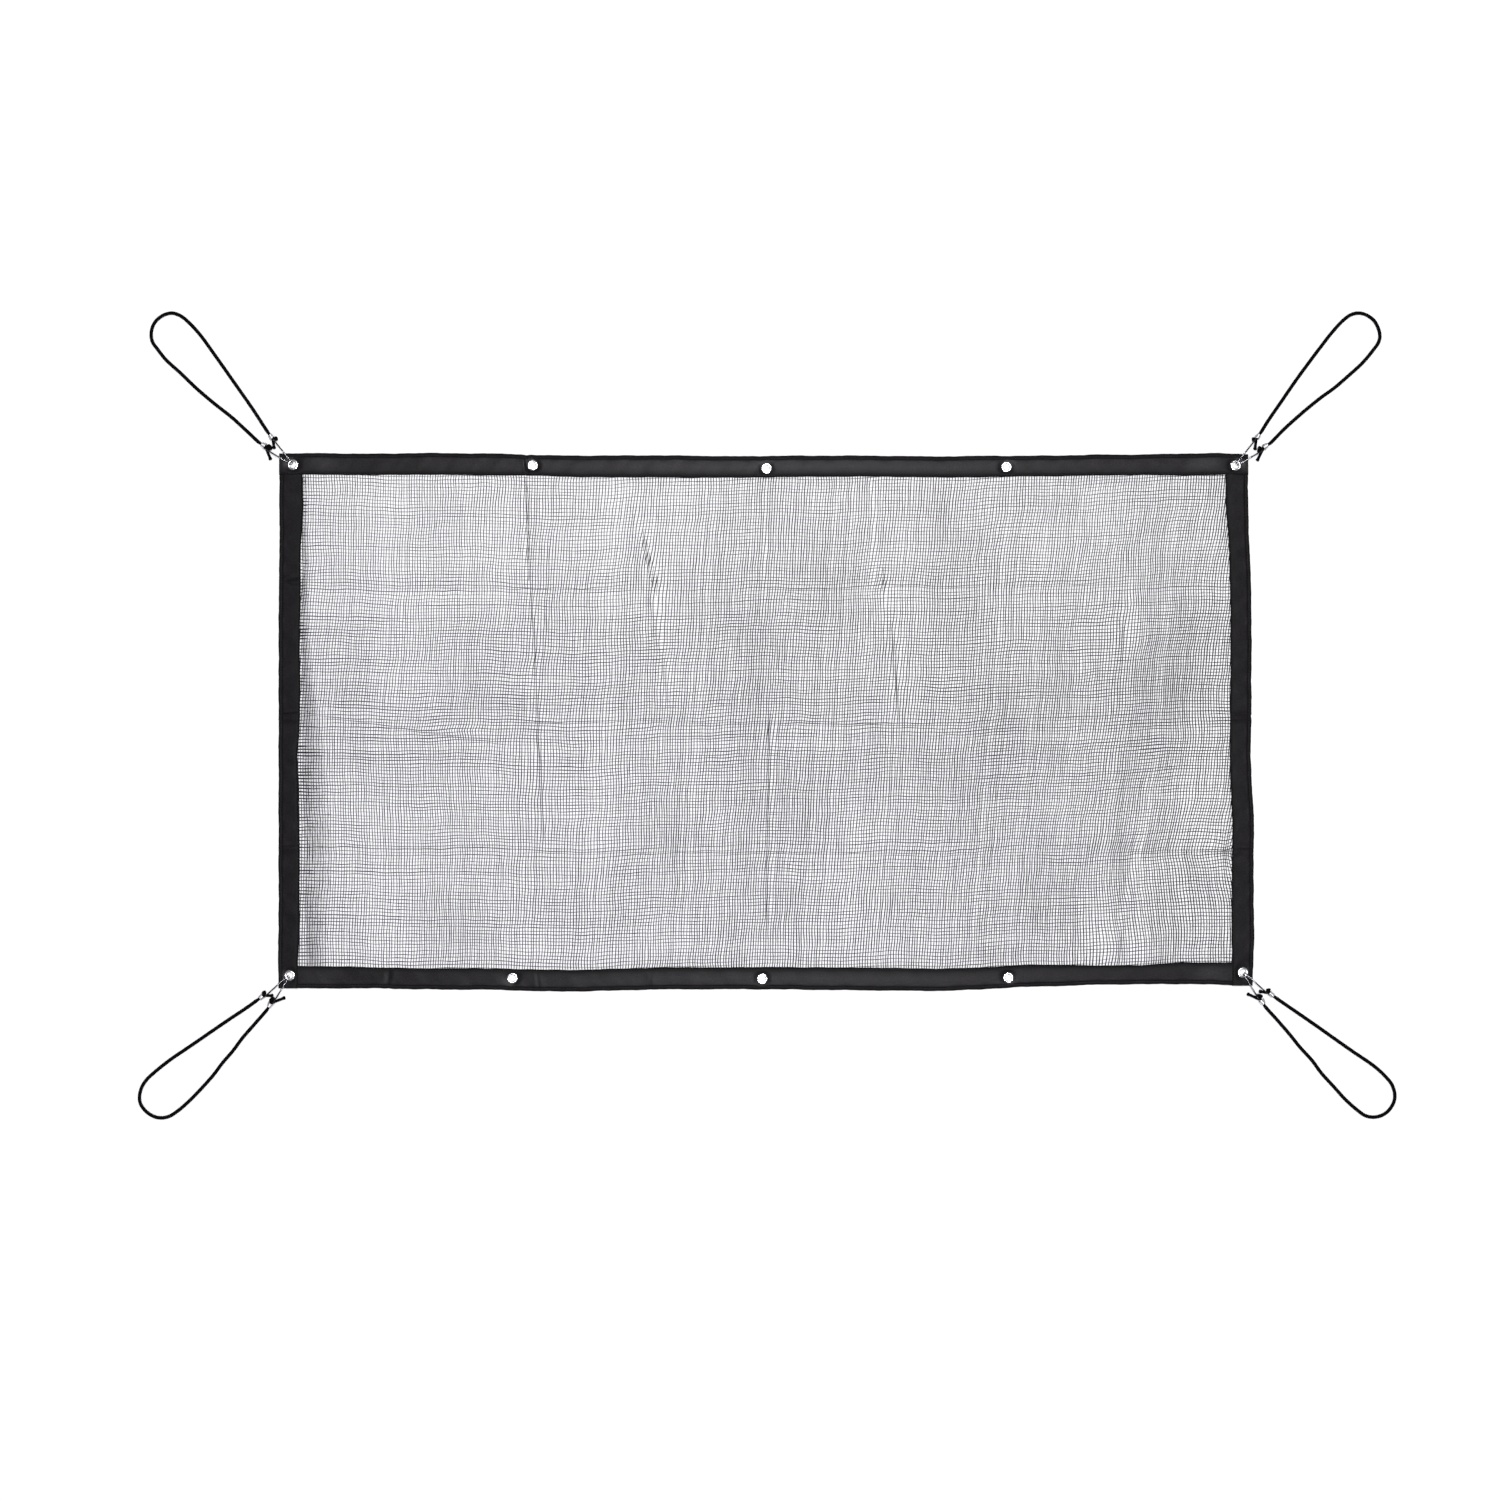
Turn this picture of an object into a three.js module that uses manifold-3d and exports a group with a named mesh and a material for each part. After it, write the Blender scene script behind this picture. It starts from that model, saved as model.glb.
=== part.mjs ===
// A barrier net for dogs, laid flat: a fine mesh panel in a sewn tape binding, ten pressed eyelets,
// and at each corner an elastic cord loop on two wire hooks.
// Millimetres. +X runs along the long edge, +Y across, +Z up from the surface that the net lies on.
import * as THREE from "three";
import { mergeVertices } from "three/addons/utils/BufferGeometryUtils.js";
import Module from "manifold-3d";

const wasm = await Module();
wasm.setup();

// Clearance between neighbouring pieces
const GAP = 0.3;

// Net and binding: the tape is folded over the net's rim, one leg below it and one above
const NET_THICKNESS = 1;
const TAPE_LEG = 1;
const SLOT_HEIGHT = NET_THICKNESS + 2 * GAP;
const BINDING_INNER_HEIGHT = 2 * TAPE_LEG + SLOT_HEIGHT;
const BINDING_OUTER_HEIGHT = 2.4;
const BINDING_EDGE_ROUND = 0.6;
const NET_TUCK = 2;
const SLOT_DEPTH = NET_TUCK + 1;
const CLOSED_SLOT = 0.2;
const NET_RIM_HEIGHT = TAPE_LEG + GAP;
const NET_LIP = 1.5;
const NET_SLOPE = 18;

// Eyelets
const BORE_RADIUS = 4;
const BARREL_RADIUS = 4.7;
const FLANGE_RADIUS = 6.7;
const BACK_FLANGE = 0.9;
const PINCHED_CLOTH = 1;
const FRONT_FLANGE = 1.1;
const FLANGE_BASE = BACK_FLANGE + PINCHED_CLOTH + 2 * GAP;
const EYELET_HEIGHT = FLANGE_BASE + FRONT_FLANGE;
const EYELET_SIDES = 14;

// The corners ride up on the hook wire that passes under them
const WIRE_RADIUS = 0.6;
const SURFACE_CLEAR = 0.1;
const CORNER_LIFT = SURFACE_CLEAR + 2 * WIRE_RADIUS + GAP;
const LIFT_PLATEAU = 16;
const LIFT_REACH = 62;

// Hooks, cords and knots
const WIRE_SIDES = 5;
const CORD_RADIUS = 1.65;
const CORD_SIDES = 8;
const CORD_STEPS = 38;
const CONE_LENGTH = 5.6;
const CONE_TURNS = 2.5;
const CONE_STEPS_PER_TURN = 8;
const CONE_NARROW_RADIUS = CORD_RADIUS + GAP + WIRE_RADIUS;
const CONE_WIDE_RADIUS = 3.2;
const CORD_END_IN_CONE = 3;
const CORD_LEAD = 4;
const CORD_CLEAR = 0.2;
const HOOK_BEND_RADIUS = 1.5;
const HOOK_RETURN = 5;
const HOOK_OUTWARD = 1.8;
const HOOK_ASIDE = 1.1;
const KNOT_RADIUS = 2.7;
const KNOT_STRAND = 1.35;
const KNOT_CORE = 2.4;
const KNOT_TILT = 0.6;
const KNOT_SIDES = 6;
const TAIL_RADIUS = 1.5;
const TAIL_BULB_RADIUS = 1.9;

// Edges of the long bindings: one row for each place along X
const LONG_EDGES = [
  { x: -575.6, topOuter: 317.9, topInner: 292.4, bottomInner: -287.5, bottomOuter: -314.6 },
  { x: -528, topOuter: 318.2, topInner: 292.6, bottomInner: -288.5, bottomOuter: -315.0 },
  { x: -457, topOuter: 317.6, topInner: 292.2, bottomInner: -290.0, bottomOuter: -315.0 },
  { x: -410, topOuter: 318.6, topInner: 292.8, bottomInner: -291.0, bottomOuter: -316.2 },
  { x: -315, topOuter: 317.8, topInner: 291.7, bottomInner: -291.4, bottomOuter: -316.7 },
  { x: -267, topOuter: 316.0, topInner: 291.5, bottomInner: -292.6, bottomOuter: -318.5 },
  { x: -220, topOuter: 315.4, topInner: 289.6, bottomInner: -292.9, bottomOuter: -318.6 },
  { x: -126, topOuter: 315.8, topInner: 289.5, bottomInner: -290.0, bottomOuter: -316.2 },
  { x: -31, topOuter: 314.6, topInner: 289.0, bottomInner: -289.8, bottomOuter: -316.0 },
  { x: 16, topOuter: 315.3, topInner: 289.8, bottomInner: -289.8, bottomOuter: -316.2 },
  { x: 111, topOuter: 315.5, topInner: 290.5, bottomInner: -290.1, bottomOuter: -317.3 },
  { x: 206, topOuter: 314.4, topInner: 289.5, bottomInner: -291.4, bottomOuter: -318.1 },
  { x: 253, topOuter: 315.2, topInner: 289.6, bottomInner: -290.2, bottomOuter: -316.3 },
  { x: 300, topOuter: 315.2, topInner: 290.8, bottomInner: -287.4, bottomOuter: -313.4 },
  { x: 348, topOuter: 315.6, topInner: 290.8, bottomInner: -286.9, bottomOuter: -312.2 },
  { x: 395, topOuter: 316.7, topInner: 291.8, bottomInner: -287.9, bottomOuter: -310.5 },
  { x: 442, topOuter: 316.6, topInner: 292.2, bottomInner: -287.4, bottomOuter: -310.2 },
  { x: 490, topOuter: 317.9, topInner: 291.6, bottomInner: -284.0, bottomOuter: -309.8 },
  { x: 537, topOuter: 318.2, topInner: 292.4, bottomInner: -284.0, bottomOuter: -310.6 },
  { x: 569.8, topOuter: 316.9, topInner: 292.4, bottomInner: -284.2, bottomOuter: -311.6 },
];

// Edges of the side bindings: one row for each place along Y
const SIDE_EDGES = [
  { y: 292, leftOuter: -575.6, leftInner: -548.3, rightInner: 542.9, rightOuter: 569.8 },
  { y: 257, leftOuter: -575.8, leftInner: -547.3, rightInner: 543.4, rightOuter: 570.4 },
  { y: 227, leftOuter: -575.8, leftInner: -549.0, rightInner: 545.8, rightOuter: 570.7 },
  { y: 198, leftOuter: -575.8, leftInner: -550.4, rightInner: 547.6, rightOuter: 572.5 },
  { y: 139, leftOuter: -576.7, leftInner: -550.4, rightInner: 549.0, rightOuter: 574.1 },
  { y: 80, leftOuter: -576.8, leftInner: -551.7, rightInner: 549.2, rightOuter: 574.3 },
  { y: 50, leftOuter: -576.8, leftInner: -550.6, rightInner: 549.1, rightOuter: 574.1 },
  { y: -9, leftOuter: -576.7, leftInner: -551.7, rightInner: 548.6, rightOuter: 574.0 },
  { y: -39, leftOuter: -576.8, leftInner: -554.2, rightInner: 548.1, rightOuter: 573.0 },
  { y: -68, leftOuter: -576.8, leftInner: -553.2, rightInner: 549.1, rightOuter: 574.3 },
  { y: -98, leftOuter: -576.8, leftInner: -553.1, rightInner: 550.4, rightOuter: 576.4 },
  { y: -127, leftOuter: -576.8, leftInner: -551.6, rightInner: 551.4, rightOuter: 577.1 },
  { y: -187, leftOuter: -576.8, leftInner: -551.7, rightInner: 550.5, rightOuter: 576.5 },
  { y: -246, leftOuter: -576.8, leftInner: -551.7, rightInner: 550.4, rightOuter: 577.5 },
  { y: -275, leftOuter: -577.5, leftInner: -553.2, rightInner: 550.6, rightOuter: 576.5 },
  { y: -315, leftOuter: -576.4, leftInner: -553.2, rightInner: 550.6, rightOuter: 575.1 },
];

// Where the binding strips end: the sides butt under the top strip, the bottom strip between the sides
const SIDE_TOP_END = 292.1;
const LEFT_BOTTOM_END = -314.6;
const RIGHT_BOTTOM_END = -311.5;
const SIDE_SLOT_END = -292;
const BOTTOM_LEFT_END = -552.9;
const BOTTOM_RIGHT_END = 550.3;

// Packing creases across the width: each stands up in the net and, lower, in the side bindings
const CROSS_CREASES = [
  { y: 165, net: 2.0, left: 1.2, right: 0.4 },
  { y: 6, net: 1.8, left: 0.9, right: 0.9 },
  { y: -149, net: 2.0, left: 0.9, right: 1.0 },
];
// Packing creases along the height: each fades out at its two ends
const UPRIGHT_CREASES = [
  { x: -270, net: 2.2, from: 300, to: -135 },
  { x: -128, net: 2.4, from: 165, to: 20 },
  { x: 5, net: 1.6, from: 20, to: -130 },
  { x: 147, net: 1.9, from: 165, to: 35 },
  { x: 418, net: 2.2, from: 170, to: -270 },
];
const CREASE_HALF_WIDTH = 9;
const CREASE_FADE = 45;
const NET_STATION_GAP = 90;
const NET_BENDS = [-410, -325, -220];

// Eyelet centres, left to right
const TOP_EYELETS = [
  { x: -559.3, y: 304.2, lift: CORNER_LIFT },
  { x: -276.2, y: 303.8, lift: 0 },
  { x: 0.3, y: 300.1, lift: 0 },
  { x: 284.2, y: 301.9, lift: 0 },
  { x: 554.9, y: 303.4, lift: CORNER_LIFT },
];
const BOTTOM_EYELETS = [
  { x: -563.2, y: -299.4, lift: CORNER_LIFT },
  { x: -300.1, y: -302.7, lift: 0 },
  { x: -4.6, y: -303.4, lift: 0 },
  { x: 286.5, y: -302.1, lift: 0 },
  { x: 563.5, y: -295.8, lift: CORNER_LIFT },
];

// Hooks: where the cord goes into the wire cone, how far the knot lies behind the cone's wide end and
// to its right, the end of the knot's tail, and the angle around the wide end at which the shank leaves
const CORNERS = [
  {
    name: "tl", eyelet: TOP_EYELETS[0], outward: [-1, 1],
    hooks: [
      { name: "a", cord: [-586.7, 339.7], knotAlong: 2.4, knotAside: -2.4, tail: [-581.5, 322.8], leaves: 90 },
      { name: "b", cord: [-596.5, 328.8], knotAlong: 3.0, knotAside: -0.9, tail: [-586.2, 311.7], leaves: 45 },
    ],
    cord: [
      [-586.5, 339.4], [-607.6, 371.0], [-628.7, 401.2], [-649.9, 431.3], [-670.9, 460.0], [-686.1, 475.8],
      [-693.6, 481.1], [-702.6, 483.7], [-712.4, 481.4], [-721.5, 474.4], [-726.0, 466.0], [-727.1, 457.0],
      [-725.5, 449.4], [-719.1, 440.4], [-710.2, 429.1], [-692.1, 412.5], [-674.0, 395.1], [-652.8, 377.0],
      [-631.7, 360.3], [-613.6, 343.8], [-596.2, 329.5],
    ],
  },
  {
    name: "tr", eyelet: TOP_EYELETS[4], outward: [1, 1],
    hooks: [
      { name: "a", cord: [582.8, 339.9], knotAlong: 2.7, knotAside: 1.7, tail: [577.9, 321.6], leaves: 90 },
      { name: "b", cord: [592.7, 327.7], knotAlong: 2.9, knotAside: 0.3, tail: [581.4, 310.3], leaves: 135 },
    ],
    cord: [
      [583.4, 340.0], [593.2, 355.8], [609.8, 380.0], [626.4, 404.1], [643.0, 426.8], [656.6, 444.9],
      [670.2, 462.2], [682.3, 475.1], [691.3, 481.6], [700.4, 483.7], [709.4, 481.6], [718.5, 475.1],
      [723.7, 466.0], [725.7, 457.0], [724.2, 449.4], [717.0, 438.9], [704.9, 424.6], [688.3, 409.4],
      [671.7, 395.1], [655.1, 383.1], [633.9, 365.7], [612.9, 346.9], [592.5, 327.9],
    ],
  },
  {
    name: "bl", eyelet: BOTTOM_EYELETS[0], outward: [-1, -1],
    hooks: [
      { name: "a", cord: [-598.8, -326.5], knotAlong: 2.6, knotAside: -1.6, tail: [-582.4, -323.4], leaves: 45 },
      { name: "b", cord: [-587.9, -336.6], knotAlong: 3.2, knotAside: -0.2, tail: [-570.0, -326.2], leaves: 60 },
    ],
    cord: [
      [-598.4, -327.8], [-616.5, -339.2], [-634.6, -351.2], [-658.8, -367.8], [-682.9, -384.4],
      [-704.1, -398.8], [-722.2, -413.1], [-732.7, -422.9], [-738.7, -432.7], [-741.0, -443.3],
      [-739.6, -451.6], [-732.7, -460.7], [-723.7, -466.3], [-714.6, -467.9], [-705.6, -465.9],
      [-695.0, -459.1], [-684.4, -450.0], [-670.8, -436.4], [-652.7, -416.1], [-643.7, -404.0],
      [-630.1, -388.1], [-619.6, -373.9], [-604.5, -356.5], [-587.9, -336.9],
    ],
  },
  {
    name: "br", eyelet: BOTTOM_EYELETS[4], outward: [1, -1],
    hooks: [
      { name: "a", cord: [599.7, -323.6], knotAlong: 3.0, knotAside: 1.8, tail: [582.4, -318.2], leaves: 135 },
      { name: "b", cord: [588.0, -333.1], knotAlong: 3.1, knotAside: 0.4, tail: [570.3, -321.6], leaves: 120 },
    ],
    cord: [
      [598.9, -323.3], [618.6, -336.9], [642.7, -353.5], [668.4, -371.6], [694.1, -389.7], [718.2, -406.2],
      [731.7, -418.3], [740.1, -428.9], [743.4, -441.0], [741.9, -450.0], [735.5, -459.8], [727.2, -465.2],
      [717.4, -467.0], [708.4, -465.2], [698.6, -458.3], [685.0, -446.2], [671.4, -431.2], [656.4, -414.7],
      [645.7, -400.2], [630.7, -383.7], [618.6, -368.6], [603.5, -351.2], [587.6, -333.1],
    ],
  },
];

const MATERIALS = {
  net: new THREE.MeshStandardMaterial({ color: 0x1b1b1f, roughness: 0.7, metalness: 0 }),
  tape: new THREE.MeshStandardMaterial({ color: 0x2a282b, roughness: 0.85, metalness: 0 }),
  steel: new THREE.MeshStandardMaterial({ color: 0xd9dbde, roughness: 0.25, metalness: 0.95 }),
  cord: new THREE.MeshStandardMaterial({ color: 0x0c0c0d, roughness: 0.75, metalness: 0 }),
};

// A column of an edge table at any place, in straight runs between its rows
function edgeAt(table, key, column, place) {
  const rows = [...table].sort((a, b) => a[key] - b[key]);
  const next = rows.findIndex((row) => row[key] >= place);
  if (next === 0) return rows[0][column];
  if (next < 0) return rows[rows.length - 1][column];
  const [before, after] = [rows[next - 1], rows[next]];
  const share = (place - before[key]) / (after[key] - before[key]);
  return THREE.MathUtils.lerp(before[column], after[column], share);
}

const longEdge = (column, x) => edgeAt(LONG_EDGES, "x", column, x);
const sideEdge = (column, y) => edgeAt(SIDE_EDGES, "y", column, y);

// How far a corner's hook wire raises the cloth
function cornerLift(x, y) {
  const lifts = CORNERS.map(({ eyelet }) => {
    const away = Math.hypot(x - eyelet.x, y - eyelet.y);
    return CORNER_LIFT * (1 - THREE.MathUtils.smoothstep(away, LIFT_PLATEAU, LIFT_REACH));
  });
  return Math.max(...lifts);
}

const creaseShare = (away) => Math.max(0, 1 - Math.abs(away) / CREASE_HALF_WIDTH);
const sideCreaseLift = (side, y) => Math.max(...CROSS_CREASES.map((row) => row[side] * creaseShare(y - row.y)));

function toSolid(geometry) {
  const bare = geometry.clone();
  bare.deleteAttribute("normal");
  bare.deleteAttribute("uv");
  const merged = mergeVertices(bare, 1e-3);
  const vertProperties = new Float32Array(merged.attributes.position.array);
  const triVerts = new Uint32Array(merged.index.array);
  return new wasm.Manifold(new wasm.Mesh({ numProp: 3, vertProperties, triVerts }));
}

function toGeometry(solid) {
  const mesh = solid.getMesh();
  const geometry = new THREE.BufferGeometry();
  geometry.setAttribute("position", new THREE.BufferAttribute(mesh.vertProperties, 3));
  geometry.setIndex(new THREE.BufferAttribute(mesh.triVerts, 1));
  return geometry;
}

// A solid through closed sections of equally many points, with flat ends
function loft(sections, flatOutline) {
  const count = sections[0].length;
  const last = (sections.length - 1) * count;
  const positions = sections.flat().flatMap((point) => point.toArray());
  const index = [];
  for (let s = 0; s < sections.length - 1; s += 1) {
    for (let p = 0; p < count; p += 1) {
      const a = s * count + p;
      const b = s * count + ((p + 1) % count);
      index.push(a, b, a + count, b, b + count, a + count);
    }
  }
  for (const [a, b, c] of THREE.ShapeUtils.triangulateShape(flatOutline, [])) {
    index.push(c, b, a, last + a, last + b, last + c);
  }
  const geometry = new THREE.BufferGeometry();
  geometry.setAttribute("position", new THREE.Float32BufferAttribute(positions, 3));
  geometry.setIndex(index);
  return geometry;
}

// The folded tape's section: across from its outer edge, and up, with the slot for the net's rim
function bindingSection(width, slotDepth) {
  const slotEnd = width - slotDepth;
  const slotTop = TAPE_LEG + SLOT_HEIGHT;
  return [
    [BINDING_EDGE_ROUND, 0],
    [width - BINDING_EDGE_ROUND, 0],
    [width, BINDING_EDGE_ROUND],
    [width, TAPE_LEG],
    [slotEnd, TAPE_LEG],
    [slotEnd, slotTop],
    [width, slotTop],
    [width, BINDING_INNER_HEIGHT - BINDING_EDGE_ROUND / 2],
    [width - BINDING_EDGE_ROUND, BINDING_INNER_HEIGHT],
    [BINDING_EDGE_ROUND, BINDING_OUTER_HEIGHT],
    [0, BINDING_OUTER_HEIGHT - BINDING_EDGE_ROUND],
    [0, BINDING_EDGE_ROUND],
  ].map(([across, up]) => new THREE.Vector2(across, up));
}

// One binding strip with its eyelet seats. At each station along it edgesAt gives the two edges, liftAt
// the rise and slotAt the slot's depth, and pointAt gives the place on the surface.
function binding({ stations, edgesAt, pointAt, liftAt, slotAt, eyelets }) {
  const sections = stations.map((station) => {
    const [outer, inner] = edgesAt(station);
    const outline = bindingSection(Math.abs(inner - outer), slotAt(station));
    return outline.map(({ x, y }) => {
      const [px, py] = pointAt(station, outer + Math.sign(inner - outer) * x);
      return new THREE.Vector3(px, py, y + liftAt(station));
    });
  });
  const [outer, inner] = edgesAt(stations[0]);
  const flat = bindingSection(Math.abs(inner - outer), slotAt(stations[0]));
  let solid = toSolid(loft(sections, flat));
  if (solid.volume() < 0) solid = toSolid(loft([...sections].reverse(), flat));
  for (const eyelet of eyelets) solid = solid.subtract(toSolid(eyeletSeat(eyelet)));
  return toGeometry(solid);
}

// What an eyelet takes out of the tape: the hole for its barrel and the pinch under each flange
function eyeletSeat({ x, y, lift }) {
  const reach = 10;
  const seat = FLANGE_RADIUS + GAP;
  const hole = BARREL_RADIUS + GAP;
  const profile = [
    [0, -reach],
    [seat, -reach],
    [seat, BACK_FLANGE + GAP],
    [hole, BACK_FLANGE + GAP],
    [hole, FLANGE_BASE - GAP],
    [seat, FLANGE_BASE - GAP],
    [seat, reach],
    [0, reach],
  ].map(([r, z]) => new THREE.Vector2(r, z));
  return new THREE.LatheGeometry(profile, EYELET_SIDES).rotateX(Math.PI / 2).translate(x, y, lift);
}

function eyeletRing() {
  const profile = [
    [BORE_RADIUS, 0],
    [FLANGE_RADIUS, 0],
    [FLANGE_RADIUS, BACK_FLANGE],
    [BARREL_RADIUS, BACK_FLANGE],
    [BARREL_RADIUS, FLANGE_BASE],
    [FLANGE_RADIUS, FLANGE_BASE],
    [FLANGE_RADIUS - 0.7, EYELET_HEIGHT],
    [BORE_RADIUS + 0.6, EYELET_HEIGHT],
    [BORE_RADIUS, EYELET_HEIGHT - 0.7],
    [BORE_RADIUS, 0],
  ].map(([r, z]) => new THREE.Vector2(r, z));
  return new THREE.LatheGeometry(profile, EYELET_SIDES).rotateX(Math.PI / 2);
}

// Places from the keys given, with more between where two keys lie far apart
function spreadStations(keys) {
  const sorted = [...keys].sort((a, b) => a - b);
  return sorted.flatMap((key, i) => {
    if (i === sorted.length - 1) return [key];
    const parts = Math.max(1, Math.round((sorted[i + 1] - key) / NET_STATION_GAP));
    return Array.from({ length: parts }, (_, n) => key + ((sorted[i + 1] - key) * n) / parts);
  });
}

// Height of the net's underside: in the slot at its rim, on the surface inside, raised at the creases
function netHeight(x, y, inset) {
  const rim = 1 - THREE.MathUtils.smoothstep(inset, NET_LIP, NET_SLOPE);
  const cross = CROSS_CREASES.map((row) => row.net * creaseShare(y - row.y));
  const upright = UPRIGHT_CREASES.map((row) => {
    const inside = Math.min(row.from - y, y - row.to) / CREASE_FADE;
    return row.net * creaseShare(x - row.x) * THREE.MathUtils.clamp(inside, 0, 1);
  });
  const side = x < 0 ? "left" : "right";
  const rimHeight = NET_RIM_HEIGHT + sideCreaseLift(side, y) * Number(Math.abs(x) > 500);
  return cornerLift(x, y) + rim * rimHeight + (1 - rim) * Math.max(...cross, ...upright);
}

// The net panel: a sheet on a grid whose outer lines follow the bindings' inner edges
function netPanel() {
  const insets = [-NET_TUCK, NET_LIP, NET_SLOPE];
  const creaseKeys = (rows, key) => rows.flatMap((row) => [-1, 0, 1].map((n) => row[key] + n * CREASE_HALF_WIDTH));
  const innerX = spreadStations([-505, ...NET_BENDS, ...creaseKeys(UPRIGHT_CREASES, "x"), 505]);
  const innerY = spreadStations([-245, ...creaseKeys(CROSS_CREASES, "y"), 245]);
  const columns = [...insets.map((inset) => ({ side: "left", inset })), ...innerX.map((x) => ({ x }))];
  columns.push(...[...insets].reverse().map((inset) => ({ side: "right", inset })));
  const rows = [...insets.map((inset) => ({ side: "bottom", inset })), ...innerY.map((y) => ({ y }))];
  rows.push(...[...insets].reverse().map((inset) => ({ side: "top", inset })));

  const rowY = { bottom: -288, top: 291 };
  const placeX = (column, y) => {
    if (column.side === "left") return sideEdge("leftInner", y) + column.inset;
    if (column.side === "right") return sideEdge("rightInner", y) - column.inset;
    return column.x;
  };
  const placeY = (row, x) => {
    if (row.side === "bottom") return longEdge("bottomInner", x) + row.inset;
    if (row.side === "top") return longEdge("topInner", x) - row.inset;
    return row.y;
  };
  const points = rows.map((row) =>
    columns.map((column) => {
      const x = placeX(column, row.y ?? rowY[row.side]);
      const y = placeY(row, x);
      const inset = Math.min(column.inset ?? NET_SLOPE, row.inset ?? NET_SLOPE);
      return new THREE.Vector3(x, y, netHeight(x, y, inset));
    }),
  );
  return sheet(points);
}

// A closed sheet of the net's thickness over a grid of points on its underside
function sheet(points) {
  const [rowCount, columnCount] = [points.length, points[0].length];
  const layer = rowCount * columnCount;
  const under = points.flat();
  const over = under.map((point) => point.clone().setZ(point.z + NET_THICKNESS));
  const index = [];
  const quad = (a, b, c, d) => index.push(a, b, c, a, c, d);
  for (let r = 0; r < rowCount - 1; r += 1) {
    for (let c = 0; c < columnCount - 1; c += 1) {
      const corner = r * columnCount + c;
      const above = corner + columnCount;
      quad(corner, above, above + 1, corner + 1);
      quad(layer + corner, layer + corner + 1, layer + above + 1, layer + above);
    }
  }
  const rim = [];
  for (let c = 0; c < columnCount - 1; c += 1) rim.push(c);
  for (let r = 0; r < rowCount - 1; r += 1) rim.push(r * columnCount + columnCount - 1);
  for (let c = columnCount - 1; c > 0; c -= 1) rim.push((rowCount - 1) * columnCount + c);
  for (let r = rowCount - 1; r > 0; r -= 1) rim.push(r * columnCount);
  rim.forEach((a, i) => {
    const b = rim[(i + 1) % rim.length];
    quad(a, b, layer + b, layer + a);
  });
  const geometry = new THREE.BufferGeometry();
  const positions = [...under, ...over].flatMap((point) => point.toArray());
  geometry.setAttribute("position", new THREE.Float32BufferAttribute(positions, 3));
  geometry.setIndex(index);
  return geometry;
}

function ringShape(radius, sides) {
  const corners = Array.from({ length: sides }, (_, n) => {
    const angle = (2 * Math.PI * n) / sides;
    return new THREE.Vector2(radius * Math.cos(angle), radius * Math.sin(angle));
  });
  return new THREE.Shape(corners);
}

// A curve whose sections stand on its own points instead of at equal lengths
class StationCurve extends THREE.CatmullRomCurve3 {
  getPointAt(share, target) {
    return this.getPoint(share, target);
  }

  getTangentAt(share, target) {
    return this.getTangent(share, target);
  }
}

function tube(curve, radius, sides, steps) {
  return new THREE.ExtrudeGeometry(ringShape(radius, sides), { steps, extrudePath: curve, bevelEnabled: false });
}

const wire = (points) => tube(new StationCurve(points), WIRE_RADIUS, WIRE_SIDES, points.length - 1);

// The line that a hook's cone is wound about, from where the cord goes in to the wide end, lying on
// the surface and aimed at the corner's eyelet
function coneAxis(corner, hook) {
  const heading = new THREE.Vector2(corner.eyelet.x - hook.cord[0], corner.eyelet.y - hook.cord[1]).normalize();
  const narrowHeight = SURFACE_CLEAR + WIRE_RADIUS + CONE_NARROW_RADIUS;
  const wideHeight = SURFACE_CLEAR + WIRE_RADIUS + CONE_WIDE_RADIUS;
  const start = new THREE.Vector3(hook.cord[0], hook.cord[1], narrowHeight);
  const end = new THREE.Vector3(
    hook.cord[0] + heading.x * CONE_LENGTH,
    hook.cord[1] + heading.y * CONE_LENGTH,
    wideHeight,
  );
  const axis = end.clone().sub(start).normalize();
  const right = new THREE.Vector3(heading.y, -heading.x, 0);
  return { start, end, axis, right };
}

// A hook is one wire: wound into a cone on the cord, straight to the eyelet, over its flange, down
// through the bore and back out under it
function hookWire(corner, hook, aside) {
  const { start, end, right } = coneAxis(corner, hook);
  const steps = Math.round(CONE_TURNS * CONE_STEPS_PER_TURN);
  const lastAngle = THREE.MathUtils.degToRad(hook.leaves);
  const points = Array.from({ length: steps + 1 }, (_, n) => {
    const share = n / steps;
    const angle = lastAngle - (1 - share) * CONE_TURNS * 2 * Math.PI;
    const radius = THREE.MathUtils.lerp(CONE_NARROW_RADIUS, CONE_WIDE_RADIUS, share);
    const point = start.clone().lerp(end, share);
    point.addScaledVector(right, radius * Math.cos(angle));
    return point.setZ(point.z + radius * Math.sin(angle));
  });

  const outward = new THREE.Vector2(...corner.outward).normalize();
  const sideways = new THREE.Vector2(outward.y, -outward.x);
  const bore = new THREE.Vector2(corner.eyelet.x, corner.eyelet.y);
  bore.addScaledVector(outward, HOOK_OUTWARD).addScaledVector(sideways, aside * HOOK_ASIDE);
  const leaving = points[points.length - 1];
  const run = bore.clone().sub(new THREE.Vector2(leaving.x, leaving.y)).normalize();
  const over = CORNER_LIFT + EYELET_HEIGHT + GAP + WIRE_RADIUS;
  const under = SURFACE_CLEAR + WIRE_RADIUS;
  const bend = HOOK_BEND_RADIUS;
  const slant = bend * (1 - Math.SQRT1_2);
  const place = (back, z) => new THREE.Vector3(bore.x - run.x * back, bore.y - run.y * back, z);
  points.push(
    leaving.clone().lerp(place(FLANGE_RADIUS, over), 0.5),
    place(FLANGE_RADIUS, over),
    place(bend, over),
    place(slant, over - slant),
    place(0, over - bend),
    place(0, under + bend),
    place(slant, under + slant),
    place(bend, under),
    place(bend + HOOK_RETURN, under),
  );
  return wire(points);
}

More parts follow.
